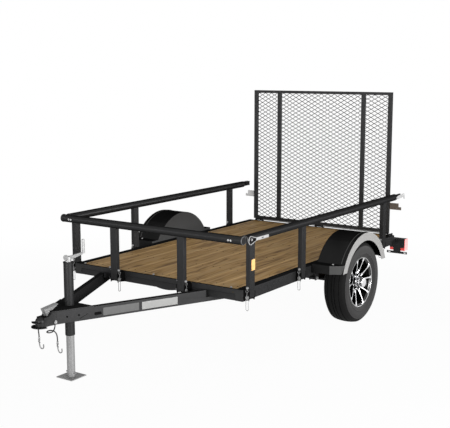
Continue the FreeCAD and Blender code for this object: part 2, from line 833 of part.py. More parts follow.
def make_rail_latch(word, side, tube_front, tube_rear):
    """The zinc latches on one side rail: a plate and wire loop in front, a hook behind."""
    outside = side_rail_half + t.rail_radius
    face = (outside + t.seat_gap, outside + t.seat_gap + t.latch_plate_thickness)
    plate_front = tube_front - t.latch_loop_length
    half = t.latch_plate_height / 2
    latch_z = rail_height - t.latch_drop
    plate = side_box(
        f"latch_plate_{word}", side,
        (plate_front - t.latch_plate_length, plate_front + t.latch_wire_radius), face,
        (latch_z - half, latch_z + half))
    wire_y = face[1].value * side
    sizes = (latch_z, t.latch_loop_height / 2, t.latch_loop_narrow / 2)
    middle, high, narrow = (size.value for size in sizes)
    ahead, back = (tube_front - t.latch_loop_front_gap).value, plate_front.value
    corners = [
        Vector(back, wire_y, middle - narrow), Vector(ahead, wire_y, middle - high),
        Vector(ahead, wire_y, middle + high), Vector(back, wire_y, middle + narrow),
    ]
    loop = feature(f"latch_loop_{word}", round_bar(corners, t.latch_wire_radius.value, closed=True)[0])
    front_latch = fuse(f"latch_front_{word}", plate, loop)
    hook_end = tube_rear - t.hook_length
    tip = hook_end + t.hook_tip_width
    hook = [
        (tube_rear + t.rail_radius, rail_height), (tube_rear, rail_height + t.hook_shoulder),
        (tip, rail_height + t.hook_top), (hook_end, rail_height + t.hook_shoulder),
        (hook_end, rail_height - t.hook_tip_drop),
        (hook_end + t.hook_tip_width / 2, rail_height - t.hook_tip_drop),
        (tip, rail_height - t.hook_tip_drop / 4), (tube_rear, rail_height - t.hook_shoulder),
    ]
    start = face[0] if side > 0 else -face[1]
    rear_latch = prism(f"latch_hook_{word}", "XZ", hook, start, t.latch_plate_thickness)
    return group(f"rail_latches_{word}", [front_latch, rear_latch])


def make_front_rail():
    """The front rail that folds forward: tube, two posts and the fixed brackets."""
    tube = cylinder(
        "front_rail_bar", t.rail_radius, (front_rail_x, -front_rail_half, rail_height),
        2 * front_rail_half, "y")
    node(tube, "front_rail_tube")
    posts = []
    brackets = []
    for word, side in SIDES.items():
        along = t.front_post_half * side
        posts.append(post(f"front_post_{word}", "y", along, front_rail_x, tube))
        brackets.append(bracket(
            f"front_bracket_{word}", "y", along, lambda reach: front_x + reach, t.front_rail_ahead))
    node(group("front_rail_posts", posts))
    return brackets


def hanging_pin(x, y, across):
    """A slim wire loop that hangs by its top, seen beside a bracket."""
    half = t.hanging_pin_width.value / 2
    high = pivot_height.value - t.bolt_head_radius.value - 2 * t.hanging_pin_wire.value
    low = high - t.hanging_pin_length.value
    corners = [(-half, low), (half, low), (half, high), (-half, high)]
    if across == "x":
        points = [Vector(x + u, y, v) for u, v in corners]
    else:
        points = [Vector(x, y + u, v) for u, v in corners]
    return round_bar(points, t.hanging_pin_wire.value, closed=True, ratio=0.4)[0]


def make_hanging_pins():
    """The lock pins that hang from the brackets on their loops."""
    proud = (t.post_width / 2 + t.ear_gap + t.ear_thickness + t.seat_gap + t.hanging_pin_wire).value
    shapes = []
    for side in SIDES.values():
        for x in side_post_x:
            shapes.append(hanging_pin(x.value + proud, side_rail_half.value * side, "y"))
        shapes.append(hanging_pin(front_rail_x.value, t.front_post_half.value * side + proud, "x"))
    node(feature("hanging_pins", Part.makeCompound(shapes)))


def make_gate():
    """The ramp gate: uprights between two cross rails, hinge sleeves and its steel mesh."""
    half, low, high = gate_half, gate_bottom, gate_top
    tab_low = low + t.gate_tab_rise
    inner = gate_inner_half
    uprights = []
    places = (-half + t.gate_upright / 2, -inner, inner, half - t.gate_upright / 2)
    for index, y in enumerate(places, start=1):
        uprights.append(box(
            f"gate_upright_{index}", (gate_back_x, y - t.gate_upright / 2, low + t.gate_rail),
            (gate_x, y + t.gate_upright / 2, high - t.gate_rail)))
    for slot, (word, side) in zip((3, 0), SIDES.items()):
        thick = (gate_back_x, gate_back_x + t.gate_tab_thickness)
        tab = side_box(
            f"gate_tab_{word}", side, thick, (half - t.gate_upright / 2, half + t.gate_tab_reach),
            (tab_low, tab_low + t.gate_tab_height))
        step = side_box(
            f"gate_tab_step_{word}", side, thick,
            (half, half + t.gate_tab_reach + t.gate_tab_step_reach),
            (tab_low, tab_low + t.gate_tab_step_height))
        uprights[slot] = fuse(f"gate_outer_{word}", uprights[slot], tab, step)
    node(group("gate_uprights", uprights))

    pieces = [box("gate_bottom_rail", (gate_back_x, -half, low), (gate_x, half, low + t.gate_rail))]
    for index, y in enumerate((-sleeve_half, ZERO, sleeve_half), start=1):
        start = y - t.sleeve_length / 2
        sleeve = cylinder(
            f"gate_sleeve_{index}", t.sleeve_radius, (hinge_x, start, hinge_z), t.sleeve_length, "y")
        web = box(
            f"gate_web_{index}", (hinge_x - t.sleeve_radius / 2, start, hinge_z),
            (hinge_x + t.hinge_behind, start + t.sleeve_length, low + t.gate_web_rise))
        pieces.extend((sleeve, web))
    bore = cylinder(
        "gate_bore", t.hinge_rod_radius + t.running_gap, (hinge_x, -half, hinge_z), 2 * half, "y")
    hinged = cut("gate_hinged_rail", fuse("gate_hinged_blank", *pieces), bore)
    top = box("gate_top_rail", (gate_back_x, -half, high - t.gate_rail), (gate_x, half, high))
    node(group("gate_rails", [hinged, top]))
    node(feature("gate_mesh", gate_mesh()))


def clip_strand(corners, low, high, axis):
    """A flat strand's outline cut off at two limits along one axis."""
    for limit, keep in ((low, 1), (high, -1)):
        kept = []
        for index, point in enumerate(corners):
            previous = corners[index - 1]
            here, there = (point[axis] - limit) * keep, (previous[axis] - limit) * keep
            if here * there < 0:
                share = there / (there - here)
                kept.append(tuple(a + (b - a) * share for a, b in zip(previous, point)))
            if here >= 0:
                kept.append(point)
        corners = kept
    return corners


def gate_mesh():
    """Expanded steel mesh: two layers of slanted strands inside the gate's edge."""
    half = gate_half.value - t.mesh_border.value
    low, high = gate_bottom.value + t.mesh_border.value, gate_top.value - t.mesh_border.value
    wide, tall = t.mesh_pitch_wide.value, t.mesh_pitch_high.value
    slope = tall / wide
    rise = t.strand_width.value / 2 * math.hypot(1, slope)
    back = gate_back_x.value - t.mesh_gap.value
    strands = []
    for direction in (1, -1):
        reach = half * slope
        steps = int((high - low + 2 * reach) / tall) + 1
        for index in range(steps):
            middle = low - reach + (index + 0.5) * tall
            left, right = middle - direction * reach, middle + direction * reach
            corners = [(-half, left - rise), (half, right - rise), (half, right + rise), (-half, left + rise)]
            corners = clip_strand(corners, low, high, 1)
            if not corners:
                continue
            points = [Vector(back, y, z) for y, z in corners]
            face = Part.Face(Part.makePolygon(points + points[:1]))
            strands.append(face.extrude(Vector(-t.strand_thickness.value, 0, 0)))
        back -= t.strand_thickness.value + t.mesh_gap.value
    return Part.makeCompound(strands)


def make_hinge():
    """The gate's hinge rod, held by lugs on the rear member beside each sleeve."""
    centres = []
    for y in (-sleeve_half, ZERO, sleeve_half):
        for direction in (-1, 1):
            centres.append(y + (t.sleeve_length / 2 + t.lug_gap + t.lug_length / 2) * direction)
    end = centres[-1] + t.lug_length / 2
    node(cylinder("hinge_rod", t.hinge_rod_radius, (hinge_x, -end, hinge_z), 2 * end, "y"))
    lugs = []
    for index, y in enumerate(centres, start=1):
        start = y - t.lug_length / 2
        ring = cylinder(f"lug_ring_{index}", t.sleeve_radius, (hinge_x, start, hinge_z), t.lug_length, "y")
        foot = box(
            f"lug_foot_{index}", (hinge_x - t.sleeve_radius, start, t.frame_top - t.frame_height / 2),
            (rear_x, start + t.lug_length, hinge_z))
        hole = cylinder(
            f"lug_hole_{index}", t.hinge_rod_radius + t.running_gap, (hinge_x, start, hinge_z),
            t.lug_length, "y")
        lugs.append(cut(f"lug_{index}", fuse(f"lug_blank_{index}", ring, foot), hole))
    node(group("hinge_lugs", lugs))


def wheel_place(item, side, out=ZERO):
    """Turns a piece made about its own Z axis so that it runs outwards on the axle."""
    return place(item, (axle_x, out * side, axle_z), Rotation(Vector(1, 0, 0), -90 * side))


def revolve(name, corners):
    """A ring from an outline of (radius, place along the axle), about local Z."""
    body = doc.addObject("PartDesign::Body", name)
    sketch = new_sketch(body, "XZ", f"{name}_outline")
    outline(sketch, corners)
    ring = body.newObject("PartDesign::Revolution", f"{name}_ring")
    ring.Profile = sketch
    ring.ReferenceAxis = (sketch, ["V_Axis"])
    ring.Angle = 360.0
    return body


def rim_outline():
    """The rim's section: two flanges, two bead seats and the well between them."""
    wall = t.rim_wall
    edge, seat, well = t.rim_radius, t.rim_radius - t.bead_drop, t.rim_radius - t.well_drop
    outer = []
    inner = []
    for end, inward in ((rim_face, -1), (rim_face - t.rim_width, 1)):
        flange = end + t.flange_width * inward
        seat_start = flange + t.flange_slope * inward
        seat_end = seat_start + t.seat_width * inward
        well_start = seat_end + t.well_slope * inward
        outer.append([(edge, end), (edge, flange), (seat, seat_start), (seat, seat_end), (well, well_start)])
        bends = (seat_start, seat_end, well_start)
        lip, bend, well_bend = (place - t.flange_width * inward for place in bends)
        inner.append([(well - wall, well_bend), (seat - wall, bend), (seat - wall, lip), (edge - wall, end)])
    return outer[0] + outer[1][::-1] + inner[1][::-1] + inner[0]


def spoke(name, angle):
    """One tapered spoke from the hub pad out to the rim, at an angle about the hub."""
    inner = t.hub_pad_radius - t.spoke_overlap
    outer = t.rim_radius - t.bead_drop - t.rim_wall / 2
    corners = [
        (inner, -t.spoke_root / 2), (outer, -t.spoke_tip / 2),
        (outer, t.spoke_tip / 2), (inner, t.spoke_root / 2),
    ]
    start = rim_face - t.spoke_back
    item = prism(name, "XY", corners, start, t.spoke_thickness)
    item.Placement = Placement(Vector(0, 0, start.value), Rotation(Vector(0, 0, 1), angle))
    return item


def tyre_shape():
    """The tyre: crown, shoulders and sidewalls as arcs, open to the rim inside."""
    radius, wall = t.tyre_radius.value, t.tyre_wall.value
    half, tread = t.tyre_width.value / 2, t.tread_half.value
    drop, shoulder_drop, shoulder_width = t.crown_drop.value, t.shoulder_drop.value, t.shoulder_width.value
    bead_radius = t.rim_radius.value - t.bead_drop.value + t.seat_gap.value
    bead = t.rim_width.value / 2 - t.bead_inset.value
    lip = Vector(t.rim_radius.value + t.bead_lip.value, 0, bead + t.bead_drop.value / 2)
    belly = Vector((bead_radius + radius) / 2 + wall / 2, 0, half)
    shoulder = Vector(radius - shoulder_drop, 0, tread + shoulder_width)
    edge = Vector(radius - drop, 0, tread)
    bend = (shoulder + edge) * 0.5 + Vector(1, 0, 1).normalize() * t.shoulder_bulge.value
    crown = Vector(radius, 0, 0)

    def mirrored(point):
        return Vector(point.x, 0, -point.z)

    outer = [
        Part.LineSegment(Vector(bead_radius, 0, bead), lip).toShape(),
        Part.Arc(lip, belly, shoulder).toShape(),
        Part.Arc(shoulder, bend, edge).toShape(),
        Part.Arc(edge, crown, mirrored(edge)).toShape(),
        Part.Arc(mirrored(edge), mirrored(bend), mirrored(shoulder)).toShape(),
        Part.Arc(mirrored(shoulder), mirrored(belly), mirrored(lip)).toShape(),
        Part.LineSegment(mirrored(lip), Vector(bead_radius, 0, -bead)).toShape(),
    ]
    inner_bead = Vector(bead_radius, 0, bead - wall)
    inner_crown = Vector(radius - wall, 0, 0)
    inner_belly = Vector(belly.x, 0, half - wall * 0.8)
    inner_shoulder = Vector(shoulder.x - wall, 0, tread)
    inner = [
        Part.LineSegment(Vector(bead_radius, 0, -bead), mirrored(inner_bead)).toShape(),
        Part.Arc(mirrored(inner_bead), mirrored(inner_belly), mirrored(inner_shoulder)).toShape(),
        Part.Arc(mirrored(inner_shoulder), inner_crown, inner_shoulder).toShape(),
        Part.Arc(inner_shoulder, inner_belly, inner_bead).toShape(),
        Part.LineSegment(inner_bead, Vector(bead_radius, 0, bead)).toShape(),
    ]
    face = Part.Face(Part.Wire(Part.__sortEdges__(outer + inner)))
    return face.revolve(Vector(0, 0, 0), Vector(0, 0, 1), 360)


def make_wheels():
    """Both wheels: tyre, spoked rim, hub with its cap, each turned outwards."""
    for word, side in SIDES.items():
        node(wheel_place(feature(f"tyre_{word}", tyre_shape()), side, tyre_middle))

        name = f"rim_{word}"
        pad_low = rim_face - t.hub_pad_back
        pieces = [
            revolve(f"{name}_barrel", rim_outline()),
            cylinder(f"{name}_pad", t.hub_pad_radius, (ZERO, ZERO, pad_low), t.hub_pad_thickness),
        ]
        turn = 360 / t.spoke_pairs.value
        for index in range(int(t.spoke_pairs.value)):
            for spread in (-1, 1):
                angle = 90 + index * turn + spread * t.spoke_spread.value
                pieces.append(spoke(f"{name}_spoke_{len(pieces)}", angle))
        bore = cylinder(f"{name}_bore", t.hub_radius + t.seat_gap, (ZERO, ZERO, pad_low), t.hub_pad_thickness)
        node(wheel_place(cut(name, fuse(f"{name}_blank", *pieces), bore), side))

        name = f"hub_{word}"
        hub_end = pad_low + t.hub_pad_thickness
        hub = cylinder(f"{name}_blank", t.hub_radius, (ZERO, ZERO, hub_inner), hub_end - hub_inner)
        flange_low = pad_low - t.hub_flange_thickness
        flange = cylinder(
            f"{name}_flange", t.hub_pad_radius - t.hub_flange_inset, (ZERO, ZERO, flange_low),
            t.hub_flange_thickness - t.seat_gap)
        cap_length = rim_face + t.cap_proud - hub_end - t.seat_gap
        cap = cylinder(f"{name}_cap", t.cap_radius, (ZERO, ZERO, hub_end + t.seat_gap), cap_length)
        nose = cylinder(f"{name}_nose", t.hub_radius / 2, (ZERO, ZERO, hub_end - t.seat_gap), 3 * t.seat_gap)
        bore = cylinder(
            f"{name}_bore", t.spindle_radius + t.running_gap, (ZERO, ZERO, hub_inner),
            spindle_end - hub_inner + t.hub_end_room)
        node(wheel_place(cut(name, fuse(f"{name}_body", hub, flange, cap, nose), bore), side))


def spring_shape(side):
    """One leaf spring: arched leaves of falling length and two rolled eyes."""
    eye_z, eye = spring_eye_height.value, t.spring_eye_radius.value
    low = axle_z.value + t.axle_tube_radius.value
    leaf, step, count = t.leaf_thickness.value, t.leaf_end_length.value, int(t.spring_leaves.value)
    width, reach = t.spring_width.value, t.spring_reach.value
    x, y = axle_x.value, spring_half.value * side - width / 2
    main_low = low + leaf * (count - 1)
    end_rise = eye_z - eye - main_low
    curve = end_rise / reach ** 2
    solids = []
    for index in range(count):
        span = reach - step * index
        bottom = main_low - leaf * index

        def arc_at(height, direction):
            rise = curve * span ** 2
            ends = [Vector(x + span * way, y, height + rise) for way in (-direction, direction)]
            return Part.Arc(ends[0], Vector(x, y, height), ends[1]).toShape()

        below, above = arc_at(bottom, 1), arc_at(bottom + leaf, -1)
        sides = [
            Part.LineSegment(below.Vertexes[1].Point, above.Vertexes[0].Point).toShape(),
            Part.LineSegment(above.Vertexes[1].Point, below.Vertexes[0].Point).toShape(),
        ]
        face = Part.Face(Part.Wire([below, sides[0], above, sides[1]]))
        solids.append(face.extrude(Vector(0, width, 0)))
    across = Vector(0, 1, 0)
    for direction in (-1, 1):
        solids.append(Part.makeCylinder(eye, width, Vector(x + reach * direction, y, eye_z), across))
    spring = solids[0].fuse(solids[1:])
    for direction in (-1, 1):
        hole = t.hanger_bolt_radius.value + t.seat_gap.value
        spring = spring.cut(Part.makeCylinder(hole, width, Vector(x + reach * direction, y, eye_z), across))
    return spring.removeSplitter()


def make_axle():
    """The axle tube with its spindles, the leaf springs and their hangers."""
    tube = cylinder(
        "axle_tube", t.axle_tube_radius, (axle_x, -axle_tube_half, axle_z), 2 * axle_tube_half, "y")
    spindle = cylinder("axle_spindle", t.spindle_radius, (axle_x, -spindle_end, axle_z), 2 * spindle_end, "y")
    node(fuse("axle_beam", tube, spindle))
    hangers = []
    node(feature("leaf_springs", Part.makeCompound([spring_shape(side) for side in SIDES.values()])))
    for word, side in SIDES.items():
        inner = spring_half - t.spring_width / 2 - t.seat_gap
        outer = spring_half + t.spring_width / 2 + t.seat_gap
        for direction in (-1, 1):
            x = axle_x + t.spring_reach * direction
            name = f"hanger_{word}_{'front' if direction > 0 else 'rear'}"
            x_span = (x - t.hanger_width / 2, x + t.hanger_width / 2)
            z_span = (spring_eye_height - t.spring_eye_radius, frame_bottom)
            whole = (inner - t.hanger_thickness, outer + t.hanger_thickness)
            plates = [
                side_box(f"{name}_in", side, x_span, (whole[0], inner), z_span),
                side_box(f"{name}_out", side, x_span, (outer, whole[1]), z_span),
                side_box(
                    f"{name}_top", side, x_span, whole, (frame_bottom - t.hanger_thickness, frame_bottom)),
                side_cylinder(f"{name}_bolt", side, t.hanger_bolt_radius, x, whole, spring_eye_height),
                side_cylinder(
                    f"{name}_head", side, t.bolt_head_radius, x, (whole[1], whole[1] + t.bolt_head_height),
                    spring_eye_height),
            ]
            hangers.append(fuse(name, *plates))
    node(group("spring_hangers", hangers))


def fender_solid(inset):
    """The space of one fender, inset by a wall: round over the wheel, a step at each end."""
    radius = t.fender_radius.value - inset
    inner, outer = fender_inner.value + inset, fender_outer.value - inset
    x, z, low = axle_x.value, axle_z.value, fender_low.value
    height = t.fender_step_height.value - inset
    reach = t.fender_radius.value + t.fender_step_length.value - inset
    cut_x, cut_y, corner = t.fender_chamfer_x.value, t.fender_chamfer_y.value, t.fender_corner.value
    drum = Part.makeCylinder(radius, outer - inner, Vector(x, inner, z), Vector(0, 1, 0))
    upper = Part.makeBox(2 * radius, outer - inner, radius, Vector(x - radius, inner, low))
    bends = [
        (reach, inner), (reach, outer - cut_y), (reach - cut_x, outer - corner), (reach - 2 * cut_x, outer)]
    points = [Vector(x + u, v, low) for u, v in bends] + [Vector(x - u, v, low) for u, v in bends[::-1]]
    step = Part.Face(Part.makePolygon(points + points[:1])).extrude(Vector(0, 0, height))
    return drum.common(upper).fuse(step).removeSplitter()


def fender_shape(side):
    """One fender: a shell, open below and over the wheel outside, with its two mounting pads."""
    wall = t.fender_wall.value
    x, z = axle_x.value, axle_z.value
    opening = Part.makeCylinder(
        t.fender_opening.value, 4 * wall, Vector(x, fender_outer.value - 2 * wall, z), Vector(0, 1, 0))
    hollow = fender_solid(wall).fuse(opening)
    shell = fender_solid(0).cut(hollow)
    pad, gap = t.fender_pad.value, t.fender_gap.value
    pads = []
    for direction in (-1, 1):
        middle = x + direction * (t.fender_radius.value - pad)
        corner = Vector(middle - pad / 2, half_width.value, fender_low.value)
        pads.append(Part.makeBox(pad, gap, t.fender_pad_height.value, corner))
    shell = shell.fuse(pads).removeSplitter()
    if side < 0:
        shell = shell.mirror(Vector(0, 0, 0), Vector(0, 1, 0))
    return shell


def make_fenders():
    """The left and right fenders."""
    for word, side in SIDES.items():
        node(feature(f"fender_{word}", fender_shape(side)))


def make_lamps():
    """The tail lamps on their brackets, and the plate bar under the left one."""
    plate_low_x = lamp_x - t.lamp_plate
    middle = (lamp_inner + lamp_plate_outer) / 2
    bar_low = lamp_low - t.plate_bar_drop
    bar_high = bar_low + t.plate_bar_height
    brackets = []
    for word, side in SIDES.items():
        name = f"lamp_bracket_{word}"
        pieces = [
            side_box(
                f"{name}_plate", side, (plate_low_x, lamp_x), (lamp_inner, lamp_plate_outer),
                (lamp_plate_low, lamp_high - t.lamp_rim)),
            side_box(
                f"{name}_arm", side, (lamp_x, rear_x), (lamp_inner, half_width),
                (frame_bottom + t.lamp_rim, lamp_high - t.lamp_rim)),
        ]
        if side > 0:
            stem_y = (middle - t.lamp_stem_half, middle + t.lamp_stem_half)
            pieces.append(side_box(
                f"{name}_stem", side, (plate_low_x, lamp_x), stem_y, (bar_high, lamp_plate_low)))
        brackets.append(fuse(name, *pieces))
        node(side_box(
            f"lamp_{word}", side, (tail_x, plate_low_x), (lamp_inner, lamp_outer), (lamp_low, lamp_high)))
    node(group("lamp_brackets", brackets))

    half = t.plate_bar_length / 2
    bar = box("plate_bar_blank", (plate_low_x, middle - half, bar_low), (lamp_x, middle + half, bar_high))
    slot_z = (bar_low + bar_high) / 2
    slot_radius = t.plate_slot_height / 2
    slots = []
    for word, side in SIDES.items():
        name = f"plate_slot_{word}"
        centre = middle + t.plate_slot_spacing / 2 * side
        ends = [centre + (t.plate_slot_length / 2 - slot_radius) * direction for direction in (-1, 1)]
        slots.append(box(
            f"{name}_middle", (plate_low_x, ends[0], slot_z - slot_radius),
            (lamp_x, ends[1], slot_z + slot_radius)))
        for number, y in enumerate(ends, start=1):
            slots.append(cylinder(
                f"{name}_end_{number}", slot_radius, (plate_low_x, y, slot_z), t.lamp_plate, "x"))
    node(cut("plate_bar", bar, *slots))


CABLE_FRONT = [(1819, 18, 391.7), (1819, 18, 373), (1815, 18, 355), (1815, 18, 337)]
CABLE_REAR = [
    (1700, 40, 391.7), (1700, 40, 380), (1712, 45, 367), (1738, 62, 364), (1766, 80, 367), (1786, 74, 367),
    (1783, 50, 366), (1760, 34, 365), (1730, 32, 363), (1707, 42, 353), (1697, 50, 332), (1694, 52, 308),
    (1694, 52, 284),
]
HOOK_PATH = [(0, 0, -24), (0, 0, -40), (-3, 5, -66), (-10, 14, -74), (-16, 23, -66), (-14, 21, -46)]


def cable_hook(top):
    """The ferrule at a cable's end and the bent wire hook below it."""
    length = t.ferrule_length.value
    ferrule = Part.makeCylinder(t.ferrule_radius.value, length, top - Vector(0, 0, length), Vector(0, 0, 1))
    hook = round_bar([top + Vector(*offset) for offset in HOOK_PATH], t.hook_wire.value)[0]
    return ferrule.fuse(hook).removeSplitter()


def make_cables():
    """The two safety cables that hang from the tongue, each with its hook."""
    hooks = []
    for name, places in (("front", CABLE_FRONT), ("rear", CABLE_REAR)):
        points = [Vector(*spot) for spot in places]
        radius = t.cable_diameter.value / 2
        tube, radii, length = round_bar(points, radius)
        node(feature(f"safety_cable_{name}", tube))
        ratio = tube.Volume / (math.pi * radius ** 2 * length)
        print(f"safety cable {name}: length {length:.0f} mm, bend radii {radii}, volume ratio {ratio:.4f}")
        hooks.append(cable_hook(points[-1]))
    node(feature("cable_hooks", Part.makeCompound(hooks)))


def check_model():
    """Stops if any object failed or any piece is empty or invalid."""
    for item in doc.Objects:
        if "Invalid" in item.State or "Error" in item.State:
            raise RuntimeError(f"{item.Label} failed: {item.State}")
    for item in nodes:
        if item.Shape.isNull() or not item.Shape.isValid():
            raise RuntimeError(f"{item.Label} has no valid shape")
        if not item.Shape.Solids:
            raise RuntimeError(f"{item.Label} has no solid")


make_frame()
make_deck()
make_tongue()
make_coupler()
make_jack()
node(group("rail_brackets", make_side_rails() + make_front_rail()))
make_hanging_pins()
make_gate()
make_hinge()
make_wheels()
make_axle()
make_fenders()
make_lamps()
make_cables()
doc.recompute()
check_model()

os.makedirs("parts", exist_ok=True)
for item in nodes:
    item.Shape.exportStep(f"parts/{item.Label}.step")
print(f"{len(nodes)} pieces written")
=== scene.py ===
import json
import logging
import math
import random
from dataclasses import dataclass
from enum import Enum
from functools import lru_cache
from typing import Callable, Iterable, Sequence

import bmesh
import bpy
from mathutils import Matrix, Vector

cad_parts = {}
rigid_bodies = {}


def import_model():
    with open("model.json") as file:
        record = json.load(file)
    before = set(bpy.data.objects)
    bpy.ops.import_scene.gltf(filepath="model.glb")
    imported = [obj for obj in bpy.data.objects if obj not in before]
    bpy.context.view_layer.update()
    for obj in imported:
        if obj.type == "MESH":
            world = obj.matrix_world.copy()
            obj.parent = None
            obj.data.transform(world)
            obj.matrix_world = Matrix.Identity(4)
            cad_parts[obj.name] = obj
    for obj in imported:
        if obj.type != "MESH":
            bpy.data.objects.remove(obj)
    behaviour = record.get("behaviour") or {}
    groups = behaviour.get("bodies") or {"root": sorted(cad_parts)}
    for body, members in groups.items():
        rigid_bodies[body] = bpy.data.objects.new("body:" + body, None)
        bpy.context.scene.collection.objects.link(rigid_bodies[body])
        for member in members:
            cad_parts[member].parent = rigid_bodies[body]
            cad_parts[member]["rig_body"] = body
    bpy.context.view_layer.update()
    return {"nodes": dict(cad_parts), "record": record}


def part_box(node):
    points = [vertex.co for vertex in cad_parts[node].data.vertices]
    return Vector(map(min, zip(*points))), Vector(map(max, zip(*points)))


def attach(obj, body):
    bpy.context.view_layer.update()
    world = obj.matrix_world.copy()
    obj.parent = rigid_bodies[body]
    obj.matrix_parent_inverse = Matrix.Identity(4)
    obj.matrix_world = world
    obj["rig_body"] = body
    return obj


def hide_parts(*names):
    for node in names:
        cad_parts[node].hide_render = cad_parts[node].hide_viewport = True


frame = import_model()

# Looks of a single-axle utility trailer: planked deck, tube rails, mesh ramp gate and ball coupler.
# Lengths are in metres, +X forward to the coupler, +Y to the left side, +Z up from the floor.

LOG = logging.getLogger("trailer")
Point = Sequence[float]
Span = tuple[float, float]
Profile = tuple[Span, ...]
Block = tuple[Span, Span, Span]
Place = tuple[float, float, float]
Color = Place
Inputs = dict[str, object]
Face = bmesh.types.BMFace

WHITE = (1.0, 1.0, 1.0, 1.0)
UP = (0, 0, 1)
FINE_EDGE = 0.0008
WIDE_EDGE = 0.0012
MERGE = 1e-6
NODE_MERGE = 2e-5
FLAT_ANGLE = math.radians(0.6)
ACROSS_CORNERS = 1.1547


class Side(Enum):
    """The trailer's two sides, by the sign of their Y."""

    LEFT = 1
    RIGHT = -1

    @property
    def word(self) -> str:
        """The side's name as it stands in node names."""
        return self.name.lower()

    @property
    def out(self) -> tuple[int, int, int]:
        """The direction that this side looks to."""
        return (0, self.value, 0)

    def y(self, distance: float) -> float:
        """A distance from the middle plane as a Y coordinate on this side."""
        return distance * self.value


class Axis(Enum):
    """A main direction, and how an outline's two coordinates lie across it."""

    X = 0
    Y = 1
    Z = 2

    def at(self, first: float, second: float, along: float) -> Vector:
        """Puts an outline's corner in space.

        Args:
            first: The corner's first coordinate, X unless this is the X axis.
            second: Its second coordinate.
            along: Its place along this axis.

        Returns:
            The point.
        """
        values = [first, second]
        values.insert(self.value, along)
        return Vector(values)


class Slot(Enum):
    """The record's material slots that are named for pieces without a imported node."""

    FRAME = "frame_paint"
    FENDER = "fender_paint"
    ZINC = "zinc"
    CHROME = "hub_chrome"
    LAMP = "lamp_red"
    CABLE = "cable_jacket"


class Tree(Enum):
    """The kinds of node tree."""

    SHADER = "ShaderNodeTree"
    GEOMETRY = "GeometryNodeTree"


class Graph:
    """A node tree with short calls for adding nodes and joining them."""

    def __init__(self, tree: bpy.types.NodeTree) -> None:
        """Keeps the tree that is built, and a group's input and output sockets by name.

        Args:
            tree: The tree.
        """
        self.tree = tree
        self.given: dict[str, bpy.types.NodeSocket] = {}
        self.out: dict[str, bpy.types.NodeSocket] = {}

    def add(self, kind: str, inputs: dict | None = None, **settings: object) -> bpy.types.Node:
        """Adds one node.

        Args:
            kind: The node's type name.
            inputs: Values, sockets or nodes for its inputs, by name or number.
            settings: Other properties of the node.

        Returns:
            The new node.
        """
        node = self.tree.nodes.new(kind)
        for name, value in settings.items():
            setattr(node, name, value)
        for key, value in (inputs or {}).items():
            self.feed(node.inputs[key], value)
        return node

    def feed(self, socket: bpy.types.NodeSocket, value: object) -> None:
        """Joins a socket or node to an input, or sets the input's value.

        Args:
            socket: The input.
            value: What feeds it: a socket, a node's first output or a plain value.
        """
        if isinstance(value, bpy.types.Node):
            value = value.outputs[0]
        if isinstance(value, bpy.types.NodeSocket):
            self.tree.links.new(value, socket)
        else:
            socket.default_value = value

    def group(self, tree: bpy.types.NodeTree, **inputs: object) -> bpy.types.Node:
        """Adds a shader node group with its own values."""
        return self.add("ShaderNodeGroup", inputs, node_tree=tree)

    def math(self, operation: str, first: object, second: object = 0.0, third: object = 0.0) -> object:
        """Adds a Math node and returns its output socket."""
        return self.add("ShaderNodeMath", {0: first, 1: second, 2: third}, operation=operation).outputs[0]

    def scaled(self, vector: object, scale: object) -> bpy.types.Node:
        """Adds a vector times a number."""
        return self.add("ShaderNodeVectorMath", {0: vector, "Scale": scale}, operation="SCALE")

    def sum(self, first: object, second: object) -> bpy.types.Node:
        """Adds the sum of two vectors."""
        return self.add("ShaderNodeVectorMath", {0: first, 1: second}, operation="ADD")

    def place(self) -> object:
        """Adds the place on the surface, in the piece's own coordinates."""
        return self.add("ShaderNodeTexCoord").outputs["Object"]

    def noise(self, stretch: object, place: object, scale: object, detail: float, **more: object) -> bpy.types.Node:
        """Adds a noise texture.

        Args:
            stretch: Scale along each axis, or None where it is even.
            place: Where the texture is read.
            scale: Its overall scale.
            detail: Its number of finer layers.
            more: Values of its other inputs.

        Returns:
            The texture's node.
        """
        if stretch is not None:
            place = self.add("ShaderNodeMapping", {"Vector": place, "Scale": stretch})
        return self.add("ShaderNodeTexNoise", {"Vector": place, "Scale": scale, "Detail": detail, **more})

    def bump(self, height: object, distance: object, strength: float = 1.0) -> object:
        """Adds a Bump node and returns its normal."""
        inputs = {"Height": height, "Distance": distance, "Strength": strength}
        return self.add("ShaderNodeBump", inputs).outputs["Normal"]

    def ramp(self, value: object, stops: Sequence[tuple[float, Color]]) -> object:
        """Adds a Color Ramp.

        Args:
            value: The socket that drives it.
            stops: Rising places from 0 to 1, each with its colour.

        Returns:
            The ramp's colour socket.
        """
        node = self.add("ShaderNodeValToRGB", {"Fac": value})
        elements = node.color_ramp.elements
        for index, (place, color) in enumerate(stops):
            element = elements[index] if index < 2 else elements.new(place)
            element.position = place
            element.color = (*color, 1.0)
        return node.outputs["Color"]

    def mix(self, factor: object, first: object, second: object) -> object:
        """Mixes two colours.

        Args:
            factor: The second colour's share.
            first: A colour or its socket.
            second: Another.

        Returns:
            The colour socket.
        """
        node = self.add("ShaderNodeMix", data_type="RGBA")
        for key, value in ((0, factor), (6, first), (7, second)):
            if isinstance(value, tuple):
                value = (*value, 1.0)
            self.feed(node.inputs[key], value)
        return node.outputs[2]


FLOAT, VECTOR, WHOLE = "NodeSocketFloat", "NodeSocketVector", "NodeSocketInt"
SHAPE, MATERIAL = ("NodeSocketGeometry", None), ("NodeSocketMaterial", None)
NO_STEP = (VECTOR, (0.0, 0.0, 0.0))


